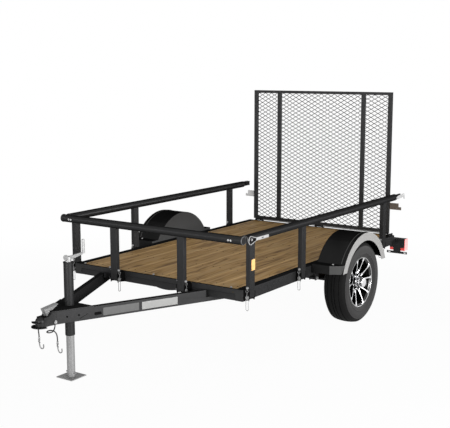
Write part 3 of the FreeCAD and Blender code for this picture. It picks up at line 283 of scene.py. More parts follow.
def node_group(kind: Tree, inputs: dict[str, tuple[str, object]], outputs: dict[str, str]) -> Callable:
    """Turns a function that fills a node group into one that gives the group.

    Args:
        kind: What the group is for.
        inputs: Socket type and default of each input, by name.
        outputs: Socket type of each output, by name.

    Returns:
        A decorator for functions of the group's graph. The group has the function's name and is built once.
    """

    def wrap(fill: Callable[[Graph], None]) -> Callable[[], bpy.types.NodeTree]:
        """Wraps the function that fills the group.

        Args:
            fill: The function.

        Returns:
            What gives the group.
        """

        @lru_cache
        def made() -> bpy.types.NodeTree:
            """Makes the group's sockets, then what is between them.

            Returns:
                The group.
            """
            tree = bpy.data.node_groups.new(fill.__name__, kind.value)
            for label, (socket_type, default) in inputs.items():
                socket = tree.interface.new_socket(label, in_out="INPUT", socket_type=socket_type)
                if default is not None:
                    socket.default_value = default
            for label, socket_type in outputs.items():
                tree.interface.new_socket(label, in_out="OUTPUT", socket_type=socket_type)
            graph = Graph(tree)
            start, end = graph.add("NodeGroupInput"), graph.add("NodeGroupOutput")
            graph.given = {label: start.outputs[label] for label in inputs}
            graph.out = {label: end.inputs[label] for label in outputs}
            fill(graph)
            return tree

        return made

    return wrap


@node_group(
    Tree.SHADER,
    {"Size": (FLOAT, 0.002), "Depth": (FLOAT, 0.0001), "Roughness": (FLOAT, 0.5), "Spread": (FLOAT, 0.1)},
    {"Roughness": FLOAT, "Normal": VECTOR})
def powder_texture(graph: Graph) -> None:
    """Makes fine orange peel with soft patches in the gloss, as on sprayed or moulded surfaces.

    Args:
        graph: The group's graph.
    """
    place = graph.place()
    peel = graph.noise(None, place, graph.math("DIVIDE", 1.0, graph.given["Size"]), 2.0)
    patches = graph.noise(None, place, 5.0, 3.0)
    shift = graph.math("MULTIPLY", graph.math("SUBTRACT", patches, 0.5), graph.given["Spread"])
    graph.feed(graph.out["Roughness"], graph.math("ADD", graph.given["Roughness"], shift))
    graph.feed(graph.out["Normal"], graph.bump(peel, graph.given["Depth"]))


@node_group(Tree.SHADER, {"Amount": (FLOAT, 0.5)}, {"Mask": FLOAT})
def edge_wear(graph: Graph) -> None:
    """Makes a mask that follows the outer edges, broken up by noise.

    Args:
        graph: The group's graph.
    """
    point = graph.add("ShaderNodeNewGeometry").outputs["Pointiness"]
    noise = graph.noise(None, graph.place(), 60.0, 4.0)
    edge = graph.math("MULTIPLY", graph.math("SUBTRACT", point, 0.51), 12.0)
    worn = graph.math("MULTIPLY", graph.math("MULTIPLY", edge, noise), graph.given["Amount"])
    graph.feed(graph.out["Mask"], graph.math("MAXIMUM", graph.math("MINIMUM", worn, 1.0), 0.0))


@node_group(
    Tree.SHADER, {"Stretch": (VECTOR, (40.0, 900.0, 900.0)), "Depth": (FLOAT, 0.00005)},
    {"Value": FLOAT, "Normal": VECTOR})
def brushed_grain(graph: Graph) -> None:
    """Makes long fine scratches that run along the direction with the smallest stretch.

    Args:
        graph: The group's graph.
    """
    noise = graph.noise(graph.given["Stretch"], graph.place(), 1.0, 4.0)
    graph.feed(graph.out["Value"], noise)
    graph.feed(graph.out["Normal"], graph.bump(noise, graph.given["Depth"]))


@node_group(Tree.SHADER, {"Size": (FLOAT, 0.004)}, {"Value": FLOAT})
def zinc_spangle(graph: Graph) -> None:
    """Makes the patchy crystals of a zinc plating: fine cells, softened by noise.

    Args:
        graph: The group's graph.
    """
    place = graph.place()
    scale = graph.math("DIVIDE", 1.0, graph.given["Size"])
    cells = graph.add("ShaderNodeTexVoronoi", {"Vector": place, "Scale": scale})
    noise = graph.noise(None, place, scale, 3.0)
    tone = graph.add("ShaderNodeSeparateColor", {"Color": cells.outputs["Color"]})
    graph.feed(graph.out["Value"], graph.math("MULTIPLY_ADD", tone, 0.5, graph.math("MULTIPLY", noise, 0.5)))


@node_group(Tree.SHADER, {"Board": (FLOAT, 0.0)}, {"Figure": FLOAT, "Knot": FLOAT, "Fibre": FLOAT})
def plank_figure(graph: Graph) -> None:
    """Makes a pine plank's figure along X, moved for each board: growth rings, fibres and rare knots.

    Args:
        graph: The group's graph.
    """
    board = graph.given["Board"]
    shift = graph.add("ShaderNodeCombineXYZ", {
        "X": graph.math("MULTIPLY", board, 7.31), "Y": graph.math("MULTIPLY", board, 3.17)})
    moved = graph.sum(graph.place(), shift)
    sway = graph.noise((0.55, 4.5, 4.5), moved, 1.3, 3.0, Roughness=0.5, Distortion=0.8)
    rings = graph.math("PINGPONG", graph.math("FRACT", graph.math("MULTIPLY", sway, 9.0)), 0.5)
    fibre = graph.noise((2.6, 90.0, 90.0), moved, 1.0, 5.0)
    tone = graph.noise((1.6, 14.0, 14.0), moved, 1.0, 3.0)
    spots = graph.add("ShaderNodeMapping", {"Vector": moved, "Scale": (2.6, 6.4, 6.4)})
    knots = graph.add("ShaderNodeTexVoronoi", {"Vector": spots, "Scale": 1.0, "Randomness": 1.0})
    knot = graph.math("SMOOTH_MIN", graph.math("MULTIPLY", knots.outputs["Distance"], 9.0), 1.0, 0.3)
    figure = graph.math("ADD", graph.math("MULTIPLY", rings, 0.85), graph.math("MULTIPLY", fibre, 0.3))
    figure = graph.math("ADD", figure, graph.math("MULTIPLY", graph.math("SUBTRACT", tone, 0.5), 0.9))
    graph.feed(graph.out["Figure"], graph.math("MULTIPLY", figure, knot))
    graph.feed(graph.out["Knot"], graph.math("SUBTRACT", 1.0, knot))
    graph.feed(graph.out["Fibre"], fibre)


def shaded(color: Color, share: float) -> Color:
    """A colour made darker or lighter by a factor."""
    return tuple(min(1.0, channel * share) for channel in color)


def grey(value: float) -> Color:
    """A colour with three equal channels."""
    return (value, value, value)


@dataclass(frozen=True)
class Finish:
    """A surface finish; each kind fills in what its shader varies over the surface."""

    name: str
    color: Color
    roughness: float = 0.5

    def constants(self) -> Inputs:
        """Principled inputs that are the same all over."""
        return {}

    def varied(self, graph: Graph) -> Inputs:
        """Makes the Principled inputs that change over the surface.

        Args:
            graph: The material's node graph.

        Returns:
            Sockets by the names of the inputs that they feed.
        """
        raise NotImplementedError

    def peeled(self, graph: Graph, size: float, depth: float, spread: float) -> Inputs:
        """Takes gloss and normal from the powder texture.

        Args:
            graph: The material's node graph.
            size: The width of its bumps.
            depth: Their height.
            spread: How far the roughness strays.

        Returns:
            Both sockets, by the names of the inputs that they feed.
        """
        peel = graph.group(powder_texture(), Size=size, Depth=depth, Roughness=self.roughness, Spread=spread)
        return {name: peel.outputs[name] for name in ("Roughness", "Normal")}

    def clouded(self, graph: Graph, scale: float, detail: float, low: float, high: float) -> object:
        """Clouds the colour softly.

        Args:
            graph: The material's node graph.
            scale: The clouds' scale.
            detail: Their number of finer layers.
            low: Share of the colour where they are darkest.
            high: Its share where they are palest.

        Returns:
            The colour socket.
        """
        cloud = graph.noise(None, graph.place(), scale, detail)
        return graph.mix(cloud, shaded(self.color, low), shaded(self.color, high))

    def material(self) -> bpy.types.Material:
        """Builds the finish as a material the first time it is asked for.

        Returns:
            The material.
        """
        found = bpy.data.materials.get(self.name)
        if found is not None:
            return found
        made = bpy.data.materials.new(self.name)
        made.use_nodes = True
        made.diffuse_color = (*self.color, 1.0)
        graph = Graph(made.node_tree)
        shader = made.node_tree.nodes["Principled BSDF"]
        plain = {"Base Color": (*self.color, 1.0), "Roughness": self.roughness, **self.constants()}
        for key, value in (*plain.items(), *self.varied(graph).items()):
            graph.feed(shader.inputs[key], value)
        return made


@dataclass(frozen=True)
class PowderCoat(Finish):
    """Sprayed coating on steel: fine peel, soft patches and slightly paler edges."""

    depth: float = 0.00012
    satin: float = 0.6
    worn: float = 0.0

    def constants(self) -> Inputs:
        """A satin base whose edges stay dark at a low angle."""
        return {"Specular IOR Level": 0.0, "Metallic": self.satin, "Specular Tint": (*grey(0.0), 1.0)}

    def varied(self, graph: Graph) -> Inputs:
        """Puts peel in the normal, patches in the gloss and wear in the colour.

        Args:
            graph: The material's node graph.

        Returns:
            Sockets by the names of the inputs that they feed.
        """
        wear = graph.group(edge_wear(), Amount=self.worn)
        color = graph.mix(wear.outputs["Mask"], self.color, shaded(self.color, 3.0))
        return {"Base Color": color, **self.peeled(graph, 0.0016, self.depth, 0.16)}


@dataclass(frozen=True)
class ZincPlate(Finish):
    """Zinc plated steel with a fine spangle."""

    metallic: float = 0.5

    def constants(self) -> Inputs:
        """Partly metal, with dull edges at a low angle."""
        return {"Metallic": self.metallic, "Specular Tint": (*grey(0.3), 1.0)}

    def varied(self, graph: Graph) -> Inputs:
        """Shifts colour and roughness by the spangle.

        Args:
            graph: The material's node graph.

        Returns:
            Sockets by the names of the inputs that they feed.
        """
        value = graph.group(zinc_spangle(), Size=0.003).outputs["Value"]
        rough = graph.math("MULTIPLY_ADD", value, 0.25, self.roughness - 0.12)
        color = graph.mix(value, shaded(self.color, 0.78), shaded(self.color, 1.15))
        return {"Base Color": color, "Roughness": rough, "Normal": graph.group(brushed_grain()).outputs["Normal"]}


@dataclass(frozen=True)
class MachinedAlloy(Finish):
    """Turned or polished metal with fine tool lines."""

    stretch: Place = (500.0, 60.0, 500.0)

    def constants(self) -> Inputs:
        """Bare metal."""
        return {"Metallic": 1.0}

    def varied(self, graph: Graph) -> Inputs:
        """Shifts the roughness and the normal by tool lines.

        Args:
            graph: The material's node graph.

        Returns:
            Sockets by the names of the inputs that they feed.
        """
        grain = graph.group(brushed_grain(), Stretch=self.stretch, Depth=0.00003)
        rough = graph.math("MULTIPLY_ADD", grain.outputs["Value"], 0.14, self.roughness - 0.07)
        return {"Roughness": rough, "Normal": grain.outputs["Normal"]}


@dataclass(frozen=True)
class PlankWood(Finish):
    """Pine planks: every board has its own tone, with rings, fibres and knots."""

    dark: Color = (0.13, 0.068, 0.026)
    pale: Color = (0.46, 0.31, 0.15)

    def constants(self) -> Inputs:
        """Dry wood hardly shines."""
        return {"Specular IOR Level": 0.12}

    def varied(self, graph: Graph) -> Inputs:
        """Takes colour, gloss and bump from the plank figure, and paints a highlight along the boards' long edges.

        Args:
            graph: The material's node graph.

        Returns:
            Sockets by the names of the inputs that they feed.
        """
        board = graph.add("ShaderNodeAttribute", attribute_name="board").outputs["Fac"]
        across = graph.add("ShaderNodeAttribute", attribute_name="across").outputs["Fac"]
        figure = graph.group(plank_figure(), Board=board).outputs
        color = graph.ramp(figure["Figure"], (
            (0.06, self.dark), (0.2, shaded(self.color, 0.62)), (0.36, self.color), (0.7, self.pale)))
        color = graph.mix(graph.math("MULTIPLY", figure["Knot"], 0.75), color, shaded(self.dark, 0.55))
        tone = graph.math("FRACT", graph.math("MULTIPLY", board, 0.618))
        color = graph.mix(graph.math("MULTIPLY", tone, 0.35), color, shaded(self.color, 0.7))
        # Painted highlight: the top grows pale towards each board's long edges, where the eased edges catch light.
        rim = graph.math("POWER", graph.math("ABSOLUTE", across), 8.0)
        color = graph.mix(graph.math("MULTIPLY", rim, 0.55), color, shaded(self.pale, 1.5))
        rough = graph.math("MULTIPLY_ADD", figure["Fibre"], 0.2, self.roughness - 0.1)
        return {"Base Color": color, "Roughness": rough, "Normal": graph.bump(figure["Fibre"], 0.0007, 0.8)}


@dataclass(frozen=True)
class Rubber(Finish):
    """Black tyre rubber with a faint bloom and fine grain."""

    def constants(self) -> Inputs:
        """Little gloss."""
        return {"Specular IOR Level": 0.08}

    def varied(self, graph: Graph) -> Inputs:
        """Grain in the normal and blotches in the colour."""
        color = self.clouded(graph, 9.0, 4.0, 0.8, 1.25)
        return {"Base Color": color, **self.peeled(graph, 0.0022, 0.0002, 0.2)}


@dataclass(frozen=True)
class Moulded(Finish):
    """Moulded plastic with a faint texture and cloudy colour; a lens or reflector also has a little painted glow."""

    coat: float = 0.0
    depth: float = 0.00005
    glow: float = 0.0

    def constants(self) -> Inputs:
        """Gloss and painted glow."""
        return {"Coat Weight": self.coat, "Coat Roughness": 0.05, "Emission Strength": self.glow}

    def varied(self, graph: Graph) -> Inputs:
        """Adds a fine texture and a slight shift in tone.

        Args:
            graph: The material's node graph.

        Returns:
            Sockets by the names of the inputs that they feed.
        """
        color = self.clouded(graph, 30.0, 2.0, 0.88, 1.08)
        found = {"Base Color": color, **self.peeled(graph, 0.003, self.depth, 0.1)}
        # Painted glow: lenses and reflector give off their own colour a little, as painted light.
        if self.glow:
            found["Emission Color"] = color
        return found


COAT = PowderCoat("black_powder_coat", (0.026, 0.026, 0.0264), 0.43, worn=0.3)
TUBE_COAT = PowderCoat("tube_powder_coat", (0.028, 0.028, 0.0284), 0.4)
DRUM_COAT = PowderCoat("fender_drum_coat", grey(0.015), 0.42, satin=0.4)
# Painted reflection: the black fender's skirt is grey where it mirrors the side lamp.
SKIRT_PAINTED_REFLECTION = PowderCoat("fender_skirt_coat", (0.235, 0.232, 0.228), 0.5, satin=0.15)
# Painted light: the black fender's inner wall is paler where the lamps fall on it.
WALL_PAINTED_LIGHT = PowderCoat("fender_wall_coat", grey(0.055), 0.45, satin=0.1)
# Painted light: the fender's slanted facets and ridge, between the black drum and the skirt's painted reflection.
FACET_PAINTED_LIGHT = PowderCoat("fender_facet_coat", (0.055, 0.055, 0.0545), 0.4)
END_COAT = PowderCoat("tube_end_coat", grey(0.035), 0.45)
RUST_BROWN = PowderCoat("rust_brown_seam", (0.05, 0.035, 0.015), 0.7, satin=0.0)
EAR_COAT = PowderCoat("bracket_ear_coat", grey(0.007), 0.45)
# Painted highlight: the tube plugs' rolled rim, paler than the black coat where it catches light.
CAP_RIM_HIGHLIGHT = PowderCoat("cap_rim_grey", grey(0.1), 0.4)
PALE_COAT = PowderCoat("pale_handle_coat", grey(0.7), 0.45, satin=0.0)
TAN_COAT = PowderCoat("primer_tan_coat", (0.11, 0.09, 0.075), 0.6, satin=0.2)
INNER_BLACK = PowderCoat("shadow_black", grey(0.006), 0.7, satin=0.2)
MESH_COAT = PowderCoat("mesh_powder_coat", (0.02, 0.02, 0.021), 0.5, depth=0.00008)
POCKET = PowderCoat("gloss_black_pocket", grey(0.006), 0.22, satin=0.8)
PLANKS = PlankWood("pine_planks", (0.42, 0.25, 0.09), 0.66)
ZINC = ZincPlate("zinc_plate", grey(0.24), 0.42)
BRIGHT_ZINC = ZincPlate("bright_zinc", grey(0.32), 0.4)
PALE_ZINC = ZincPlate("pale_zinc", grey(0.62), 0.5, metallic=0.2)
HOOK_ZINC = ZincPlate("hook_zinc", grey(0.17), 0.34)
TYRE = Rubber("tyre_rubber_black", (0.022, 0.0215, 0.0215), 0.62)
# Painted shade: the tread's rubber is much darker than the sidewall's, and also rougher.
TREAD_PAINTED_SHADE = Rubber("tread_rubber_black", grey(0.004), 0.75)
ALLOY = MachinedAlloy("machined_spoke", (0.8, 0.8, 0.81), 0.24)
RIM_LIP = MachinedAlloy("turned_rim_lip", grey(0.5), 0.3)
BARREL = MachinedAlloy("rim_barrel_grey", grey(0.06), 0.3)
CHROME = MachinedAlloy("bright_chrome", (0.72, 0.72, 0.73), 0.22, (30.0, 800.0, 30.0))
# Painted shade: darker chrome for the hub cap's sides and flange and the lever's pressed dimples.
CHROME_PAINTED_SHADE = MachinedAlloy("dark_chrome", grey(0.2), 0.25, (30.0, 800.0, 30.0))
HOUSING = Moulded("lamp_housing_black", grey(0.012), 0.42)
RED_LENS = Moulded("red_lens", (0.62, 0.02, 0.015), 0.22, coat=0.6, glow=0.25)
# Painted highlight: the red lens's outer side, pale where the side lamp falls on it.
LENS_PAINTED_HIGHLIGHT = Moulded("pale_red_lens", (0.9, 0.25, 0.24), 0.3, coat=0.5, glow=0.35)
AMBER = Moulded("amber_reflector", (0.66, 0.36, 0.11), 0.3, coat=0.1, glow=0.05)
JACKET = Moulded("black_cable_jacket", grey(0.012), 0.38, depth=0.0001)
BLANK_PLATE = Moulded("blank_grey_plate", grey(0.06), 0.45)
PALE_PLATE = Moulded("blank_pale_plate", (0.24, 0.24, 0.235), 0.45)


class Form:
    """A mesh under construction; each new face takes the finish number that is set."""

    def __init__(self) -> None:
        """Starts with no faces and finish number 0."""
        self.mesh = bmesh.new()
        self.finish = 0

    def face(self, corners: Iterable[bmesh.types.BMVert]) -> None:
        """Adds one face over vertices that exist."""
        self.mesh.faces.new(list(corners)).material_index = self.finish

    def faces_after(self, count: int) -> Sequence[Face]:
        """The faces that were added after the first ones, as many as count."""
        self.mesh.faces.ensure_lookup_table()
        return self.mesh.faces[count:]

    def loft(self, rings: Sequence[Sequence[Point]], looped: bool = False) -> None:
        """Joins rings of points, each to the next, and closes the ends.

        Args:
            rings: Closed rings with the same number of points.
            looped: True where the last ring joins the first, so that there are no ends.
        """
        rows = [[self.mesh.verts.new(point) for point in ring] for ring in rings]
        pairs = list(zip(rows, rows[1:]))
        if looped:
            pairs.append((rows[-1], rows[0]))
        count = len(rows[0])
        for low, high in pairs:
            for index in range(count):
                after = (index + 1) % count
                self.face((low[index], low[after], high[after], high[index]))
        if not looped:
            self.face(reversed(rows[0]))
            self.face(rows[-1])

    def prism(self, outline: Sequence[Point], axis: Axis, low: float, high: float) -> None:
        """Adds a straight bar with the given outline between two places along an axis."""
        self.loft([[axis.at(*corner, place) for corner in outline] for place in (low, high)])

    def box(self, low: Point, high: Point) -> None:
        """Adds a block between two corners."""
        outline = [(low[0], low[1]), (high[0], low[1]), (high[0], high[1]), (low[0], high[1])]
        self.prism(outline, Axis.Z, low[2], high[2])

    def slab(self, side: Side, x_span: Span, y_span: Span, z_span: Span, finish: int = 0) -> None:
        """Adds a block on one side of the trailer.

        Args:
            side: The side.
            x_span: Its two ends along X, in either order.
            y_span: Its two distances from the middle plane.
            z_span: Its lower and upper height.
            finish: Its finish number.
        """
        self.finish = finish
        low, high = sorted(side.y(place) for place in y_span)
        self.box((min(x_span), low, z_span[0]), (max(x_span), high, z_span[1]))

    def lathe(
            self, profile: Sequence[Point], start: Point, direction: Point, steps: int,
            looped: bool = False) -> None:
        """Adds a turned shape.

        Args:
            profile: Points of (radius, distance along the direction).
            start: The point at distance 0.
            direction: The turning axis.
            steps: Points round the axis.
            looped: True where the profile closes on itself.
        """
        origin, along = Vector(start), Vector(direction).normalized()
        side = along.orthogonal().normalized()
        across = along.cross(side)
        angles = [math.tau * index / steps for index in range(steps)]
        around = [side * math.cos(angle) + across * math.sin(angle) for angle in angles]
        rings = [[origin + along * place + ray * radius for ray in around] for radius, place in profile]
        self.loft(rings, looped)

    def tube(self, path: Sequence[Point], radius: float, sides: int, closed: bool = False) -> None:
        """Adds a round bar along a path.

        Args:
            path: Points along the middle of the bar.
            radius: The bar's radius.
            sides: Points round the bar.
            closed: True where the path comes back to its start.
        """
        points = [Vector(point) for point in path]
        count = len(points)
        angles = [math.tau * step / sides for step in range(sides)]
        rings = []
        side = None
        for index, point in enumerate(points):
            before = points[index - 1] if closed or index else point
            after = points[(index + 1) % count] if closed or index < count - 1 else point
            along = (after - before).normalized()
            side = along.orthogonal() if side is None else side - along * side.dot(along)
            side.normalize()
            across = along.cross(side)
            rings.append([point + (side * math.cos(a) + across * math.sin(a)) * radius for a in angles])
        self.loft(rings, looped=closed)

    def done(self, name: str) -> bpy.types.Mesh:
        """Ends the form, with its faces pointing outwards.

        Args:
            name: The mesh's name.

        Returns:
            The form's mesh.
        """
        bmesh.ops.remove_doubles(self.mesh, verts=self.mesh.verts, dist=MERGE)
        bmesh.ops.recalc_face_normals(self.mesh, faces=self.mesh.faces)
        mesh = bpy.data.meshes.new(name)
        self.mesh.to_mesh(mesh)
        self.mesh.free()
        return mesh


def record_of(node: str) -> tuple[str, str]:
    """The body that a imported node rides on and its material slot."""
    slots = {row["node"]: row["material_slot"] for row in frame["record"]["subparts"]}
    return frame["nodes"][node]["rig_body"], slots[node]


def linked(name: str, data: bpy.types.ID) -> bpy.types.Object:
    """Puts data in the scene.

    Args:
        name: The object's name.
        data: Its mesh, curve, lamp or camera.

    Returns:
        The new object.
    """
    made = bpy.data.objects.new(name, data)
    bpy.context.scene.collection.objects.link(made)
    return made


def add_piece(
        name: str, shape: Form | bpy.types.Mesh, finishes: Sequence[Finish], replaces: str = "",
        body: str = "chassis", slot: Slot = Slot.FRAME, rounding: float = 0.0,
        sharp: float = 40.0) -> bpy.types.Object:
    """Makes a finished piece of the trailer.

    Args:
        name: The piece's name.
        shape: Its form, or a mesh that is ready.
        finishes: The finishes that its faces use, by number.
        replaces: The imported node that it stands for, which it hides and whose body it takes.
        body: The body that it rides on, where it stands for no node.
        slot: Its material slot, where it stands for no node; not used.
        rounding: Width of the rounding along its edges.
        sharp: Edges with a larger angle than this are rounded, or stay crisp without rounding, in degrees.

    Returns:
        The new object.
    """
    mesh = shape.done(name) if isinstance(shape, Form) else shape
    mesh.name = name
    if not mesh.materials:
        for finish in finishes:
            mesh.materials.append(finish.material())
    mesh.shade_smooth()
    piece = linked(name, mesh)
    if rounding:
        bevel = piece.modifiers.new("rounding", "BEVEL")
        bevel.width = rounding
        bevel.segments = 2
        bevel.limit_method = "ANGLE"
        bevel.angle_limit = math.radians(sharp)
        piece.modifiers.new("flat_faces", "WEIGHTED_NORMAL").keep_sharp = True
    else:
        mesh.set_sharp_from_angle(angle=math.radians(sharp))
    slot_name = slot.value
    if replaces:
        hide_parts(replaces)
        body, slot_name = record_of(replaces)
    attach(piece, body)
    LOG.info("%s on %s: %d faces", name, body, len(mesh.polygons))
    return piece


def node_form(node: str) -> Form:
    """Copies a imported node's shape, with its loose triangles joined into whole faces.

    Args:
        node: The node's name.

    Returns:
        The form.
    """
    form = Form()
    form.mesh.from_mesh(frame["nodes"][node].data)
    bmesh.ops.remove_doubles(form.mesh, verts=form.mesh.verts, dist=NODE_MERGE)
    bmesh.ops.dissolve_limit(
        form.mesh, angle_limit=FLAT_ANGLE, verts=form.mesh.verts, edges=form.mesh.edges)
    return form


def refine(
        node: str, finishes: Sequence[Finish], rounding: float,
        choose: Callable[[Face], int] | None = None) -> None:
    """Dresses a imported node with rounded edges.

    Args:
        node: The node's name.
        finishes: The finishes that its faces use, by number.
        rounding: Width of the rounding.
        choose: Gives a face's finish number.
    """
    form = node_form(node)
    bmesh.ops.recalc_face_normals(form.mesh, faces=form.mesh.faces)
    for face in form.mesh.faces:
        face.material_index = choose(face) if choose else 0
    add_piece(f"{node}_finished", form, finishes, node, rounding=rounding, sharp=30.0)


def refine_all(finish: Finish, rounding: float, *nodes: str) -> None:
    """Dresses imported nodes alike, in one finish."""
    for node in nodes:
        refine(node, [finish], rounding)


def repeat_part(graph: Graph, points: object, part: object, **more: object) -> None:
    """Ends a tree of repeats: a part on each point, made real and given the material.

    Args:
        graph: The tree's graph.
        points: Where the parts go.
        part: What is repeated.
        more: Other inputs of Instance on Points.
    """
    placed = graph.add("GeometryNodeInstanceOnPoints", {"Points": points, "Instance": part, **more})
    real = graph.add("GeometryNodeRealizeInstances", {"Geometry": placed})
    done = graph.add("GeometryNodeSetMaterial", {"Geometry": real, "Material": graph.given["Material"]})
    graph.feed(graph.out["Geometry"], done)


@node_group(
    Tree.GEOMETRY,
    {"Points": SHAPE, "Head Width": (FLOAT, 0.019), "Head Height": (FLOAT, 0.007), "Washer Width": (FLOAT, 0.024),
     "Washer Height": (FLOAT, 0.002), "Stud Height": (FLOAT, 0.003), "Seed": (WHOLE, 7), "Material": MATERIAL},
    {"Geometry": SHAPE[0]})
def fasteners(graph: Graph) -> None:
    """Makes hexagon heads with washer and stud end, along each point's facing and turned at random.

    Args:
        graph: The group's graph.
    """

    def disc(sides: int, width: object, height: object, lift: object) -> object:
        """Makes a short prism that stands on the seat.

        Args:
            sides: The number of its sides.
            width: The distance across its corners.
            height: How tall it is.
            lift: How high it is raised.

        Returns:
            The prism's node.
        """
        made = graph.add("GeometryNodeMeshCylinder", {
            "Vertices": sides, "Radius": graph.math("MULTIPLY", width, 0.5), "Depth": height})
        middle = graph.math("ADD", lift, graph.math("MULTIPLY", height, 0.5))
        up = graph.add("ShaderNodeCombineXYZ", {"Z": middle})
        return graph.add("GeometryNodeTransform", {"Geometry": made.outputs["Mesh"], "Translation": up})

    parts = graph.add("GeometryNodeJoinGeometry")
    top = graph.math("ADD", graph.given["Washer Height"], graph.given["Head Height"])
    for part in (
            disc(20, graph.given["Washer Width"], graph.given["Washer Height"], 0.0),
            disc(6, graph.given["Head Width"], graph.given["Head Height"], graph.given["Washer Height"]),
            disc(10, graph.math("MULTIPLY", graph.given["Head Width"], 0.5), graph.given["Stud Height"], top)):
        graph.feed(parts.inputs[0], part)
    facing = graph.add("GeometryNodeInputNamedAttribute", {"Name": "facing"}, data_type="FLOAT_VECTOR")
    turned = graph.add("FunctionNodeAlignRotationToVector", {"Vector": facing.outputs["Attribute"]}, axis="Z")
    spin = graph.add("FunctionNodeRandomValue", {"Seed": graph.given["Seed"]}, data_type="FLOAT")
    low, high = [socket for socket in spin.inputs if socket.enabled][:2]
    low.default_value, high.default_value = 0.0, math.pi / 3
    own = graph.add("ShaderNodeCombineXYZ", {"Z": next(socket for socket in spin.outputs if socket.enabled)})
    both = graph.add("FunctionNodeRotateRotation", {"Rotation": turned}, rotation_space="LOCAL")
    graph.feed(both.inputs[1], graph.add("FunctionNodeEulerToRotation", {0: own}))
    repeat_part(graph, graph.given["Points"], parts, Rotation=both)


@node_group(
    Tree.GEOMETRY,
    {"Part": SHAPE, "Columns": (WHOLE, 2), "Rows": (WHOLE, 2), "Column Step": NO_STEP, "Row Step": NO_STEP,
     "Row Shift": NO_STEP, "Material": MATERIAL},
    {"Geometry": SHAPE[0]})
def grid_of_parts(graph: Graph) -> None:
    """Repeats the given part in rows and columns, every second row shifted.

    Args:
        graph: The group's graph.
    """
    count = graph.math("MULTIPLY", graph.given["Columns"], graph.given["Rows"])
    index = graph.add("GeometryNodeInputIndex").outputs[0]
    column = graph.math("FLOORED_MODULO", index, graph.given["Columns"])
    row = graph.math("FLOOR", graph.math("DIVIDE", graph.math("ADD", index, 0.5), graph.given["Columns"]))
    near = graph.sum(graph.scaled(graph.given["Column Step"], column), graph.scaled(graph.given["Row Step"], row))
    place = graph.sum(near, graph.scaled(graph.given["Row Shift"], graph.math("FLOORED_MODULO", row, 2.0)))
    points = graph.add("GeometryNodePoints", {"Count": count, "Position": place})
    repeat_part(graph, points, graph.given["Part"])


@node_group(
    Tree.GEOMETRY, {"Part": SHAPE, "Count": (WHOLE, 5), "Centre": NO_STEP, "Material": MATERIAL},
    {"Geometry": SHAPE[0]})
def ring_of_parts(graph: Graph) -> None:
    """Repeats the given part round an axle that runs along Y through the centre.

    Args:
        graph: The group's graph.
    """
    index = graph.add("GeometryNodeInputIndex").outputs[0]
    angle = graph.math("MULTIPLY", index, graph.math("DIVIDE", math.tau, graph.given["Count"]))
    turn = graph.add("FunctionNodeEulerToRotation", {0: graph.add("ShaderNodeCombineXYZ", {"Y": angle})})
    centred = graph.add("GeometryNodeTransform", {
        "Geometry": graph.given["Part"], "Translation": graph.scaled(graph.given["Centre"], -1.0)})
    points = graph.add("GeometryNodePoints", {"Count": graph.given["Count"], "Position": graph.given["Centre"]})
    repeat_part(graph, points, centred, Rotation=turn)


def realize(tree: bpy.types.NodeTree, part: bpy.types.Mesh, settings: Inputs) -> bpy.types.Mesh:
    """Runs a tree of repeats on a mesh.

    Args:
        tree: The tree.
        part: The mesh that goes in.
        settings: Values of the tree's other inputs, by name.

    Returns:
        A plain mesh with every repeat in it.
    """
    holder = linked("repeat_holder", part)
    modifier = holder.modifiers.new("repeats", "NODES")
    modifier.node_group = tree
    for item in tree.interface.items_tree:
        if item.in_out == "INPUT" and item.name in settings:
            modifier[item.identifier] = settings[item.name]
    seen = holder.evaluated_get(bpy.context.evaluated_depsgraph_get())
    mesh = bpy.data.meshes.new_from_object(seen)
    holder.modifiers.remove(modifier)
    bpy.data.objects.remove(holder)
    return mesh


@dataclass(frozen=True)
class BoltSize:
    """One size of hexagon bolt with its washer; a screw or rivet has no stud."""

    width: float
    height: float
    washer: float
    stud: float


SMALL_BOLT = BoltSize(0.013, 0.005, 0.018, 0.0015)
FRAME_BOLT = BoltSize(0.019, 0.008, 0.026, 0.003)
LATCH_BOLT = BoltSize(0.012, 0.003, 0.018, 0.001)
CLAMP_NUT = BoltSize(0.014, 0.008, 0.018, 0.006)
TONGUE_BOLT = BoltSize(0.009, 0.002, 0.012, 0.0)
RIVET = BoltSize(0.009, 0.003, 0.014, 0.0)
DECK_SCREW = BoltSize(0.0085, 0.0022, 0.009, 0.0)


def add_bolts(
        name: str, size: BoltSize, places: Sequence[tuple[Point, Point]], finish: Finish = ZINC,
        body: str = "chassis") -> None:
    """Sets hexagon bolts on a body.

    Args:
        name: The piece's name.
        size: The bolts' size.
        places: Each bolt's seat and the direction that its head faces.
        finish: Their finish.
        body: The body that carries them.
    """
    points = bpy.data.meshes.new(name)
    points.from_pydata([place for place, _ in places], [], [])
    facing = points.attributes.new("facing", "FLOAT_VECTOR", "POINT")
    for index, (_, direction) in enumerate(places):
        facing.data[index].vector = direction
    mesh = realize(fasteners(), points, {
        "Head Width": size.width * ACROSS_CORNERS, "Head Height": size.height, "Washer Width": size.washer,
        "Washer Height": 0.002, "Stud Height": size.stud, "Seed": len(places), "Material": finish.material()})
    add_piece(name, mesh, [finish], body=body, slot=Slot.ZINC, rounding=0.0006)


def arc(middle: Point, radius: float, start: float, end: float, steps: int) -> list[tuple[float, float]]:
    """Points of an arc in a plane.

    Args:
        middle: The arc's centre.
        radius: Its radius.
        start: First angle in degrees.
        end: Last angle in degrees.
        steps: Number of spans.

    Returns:
        Its points, one more than the spans.
    """
    angles = [math.radians(start + (end - start) * step / steps) for step in range(steps + 1)]
    return [(middle[0] + radius * math.cos(a), middle[1] + radius * math.sin(a)) for a in angles]


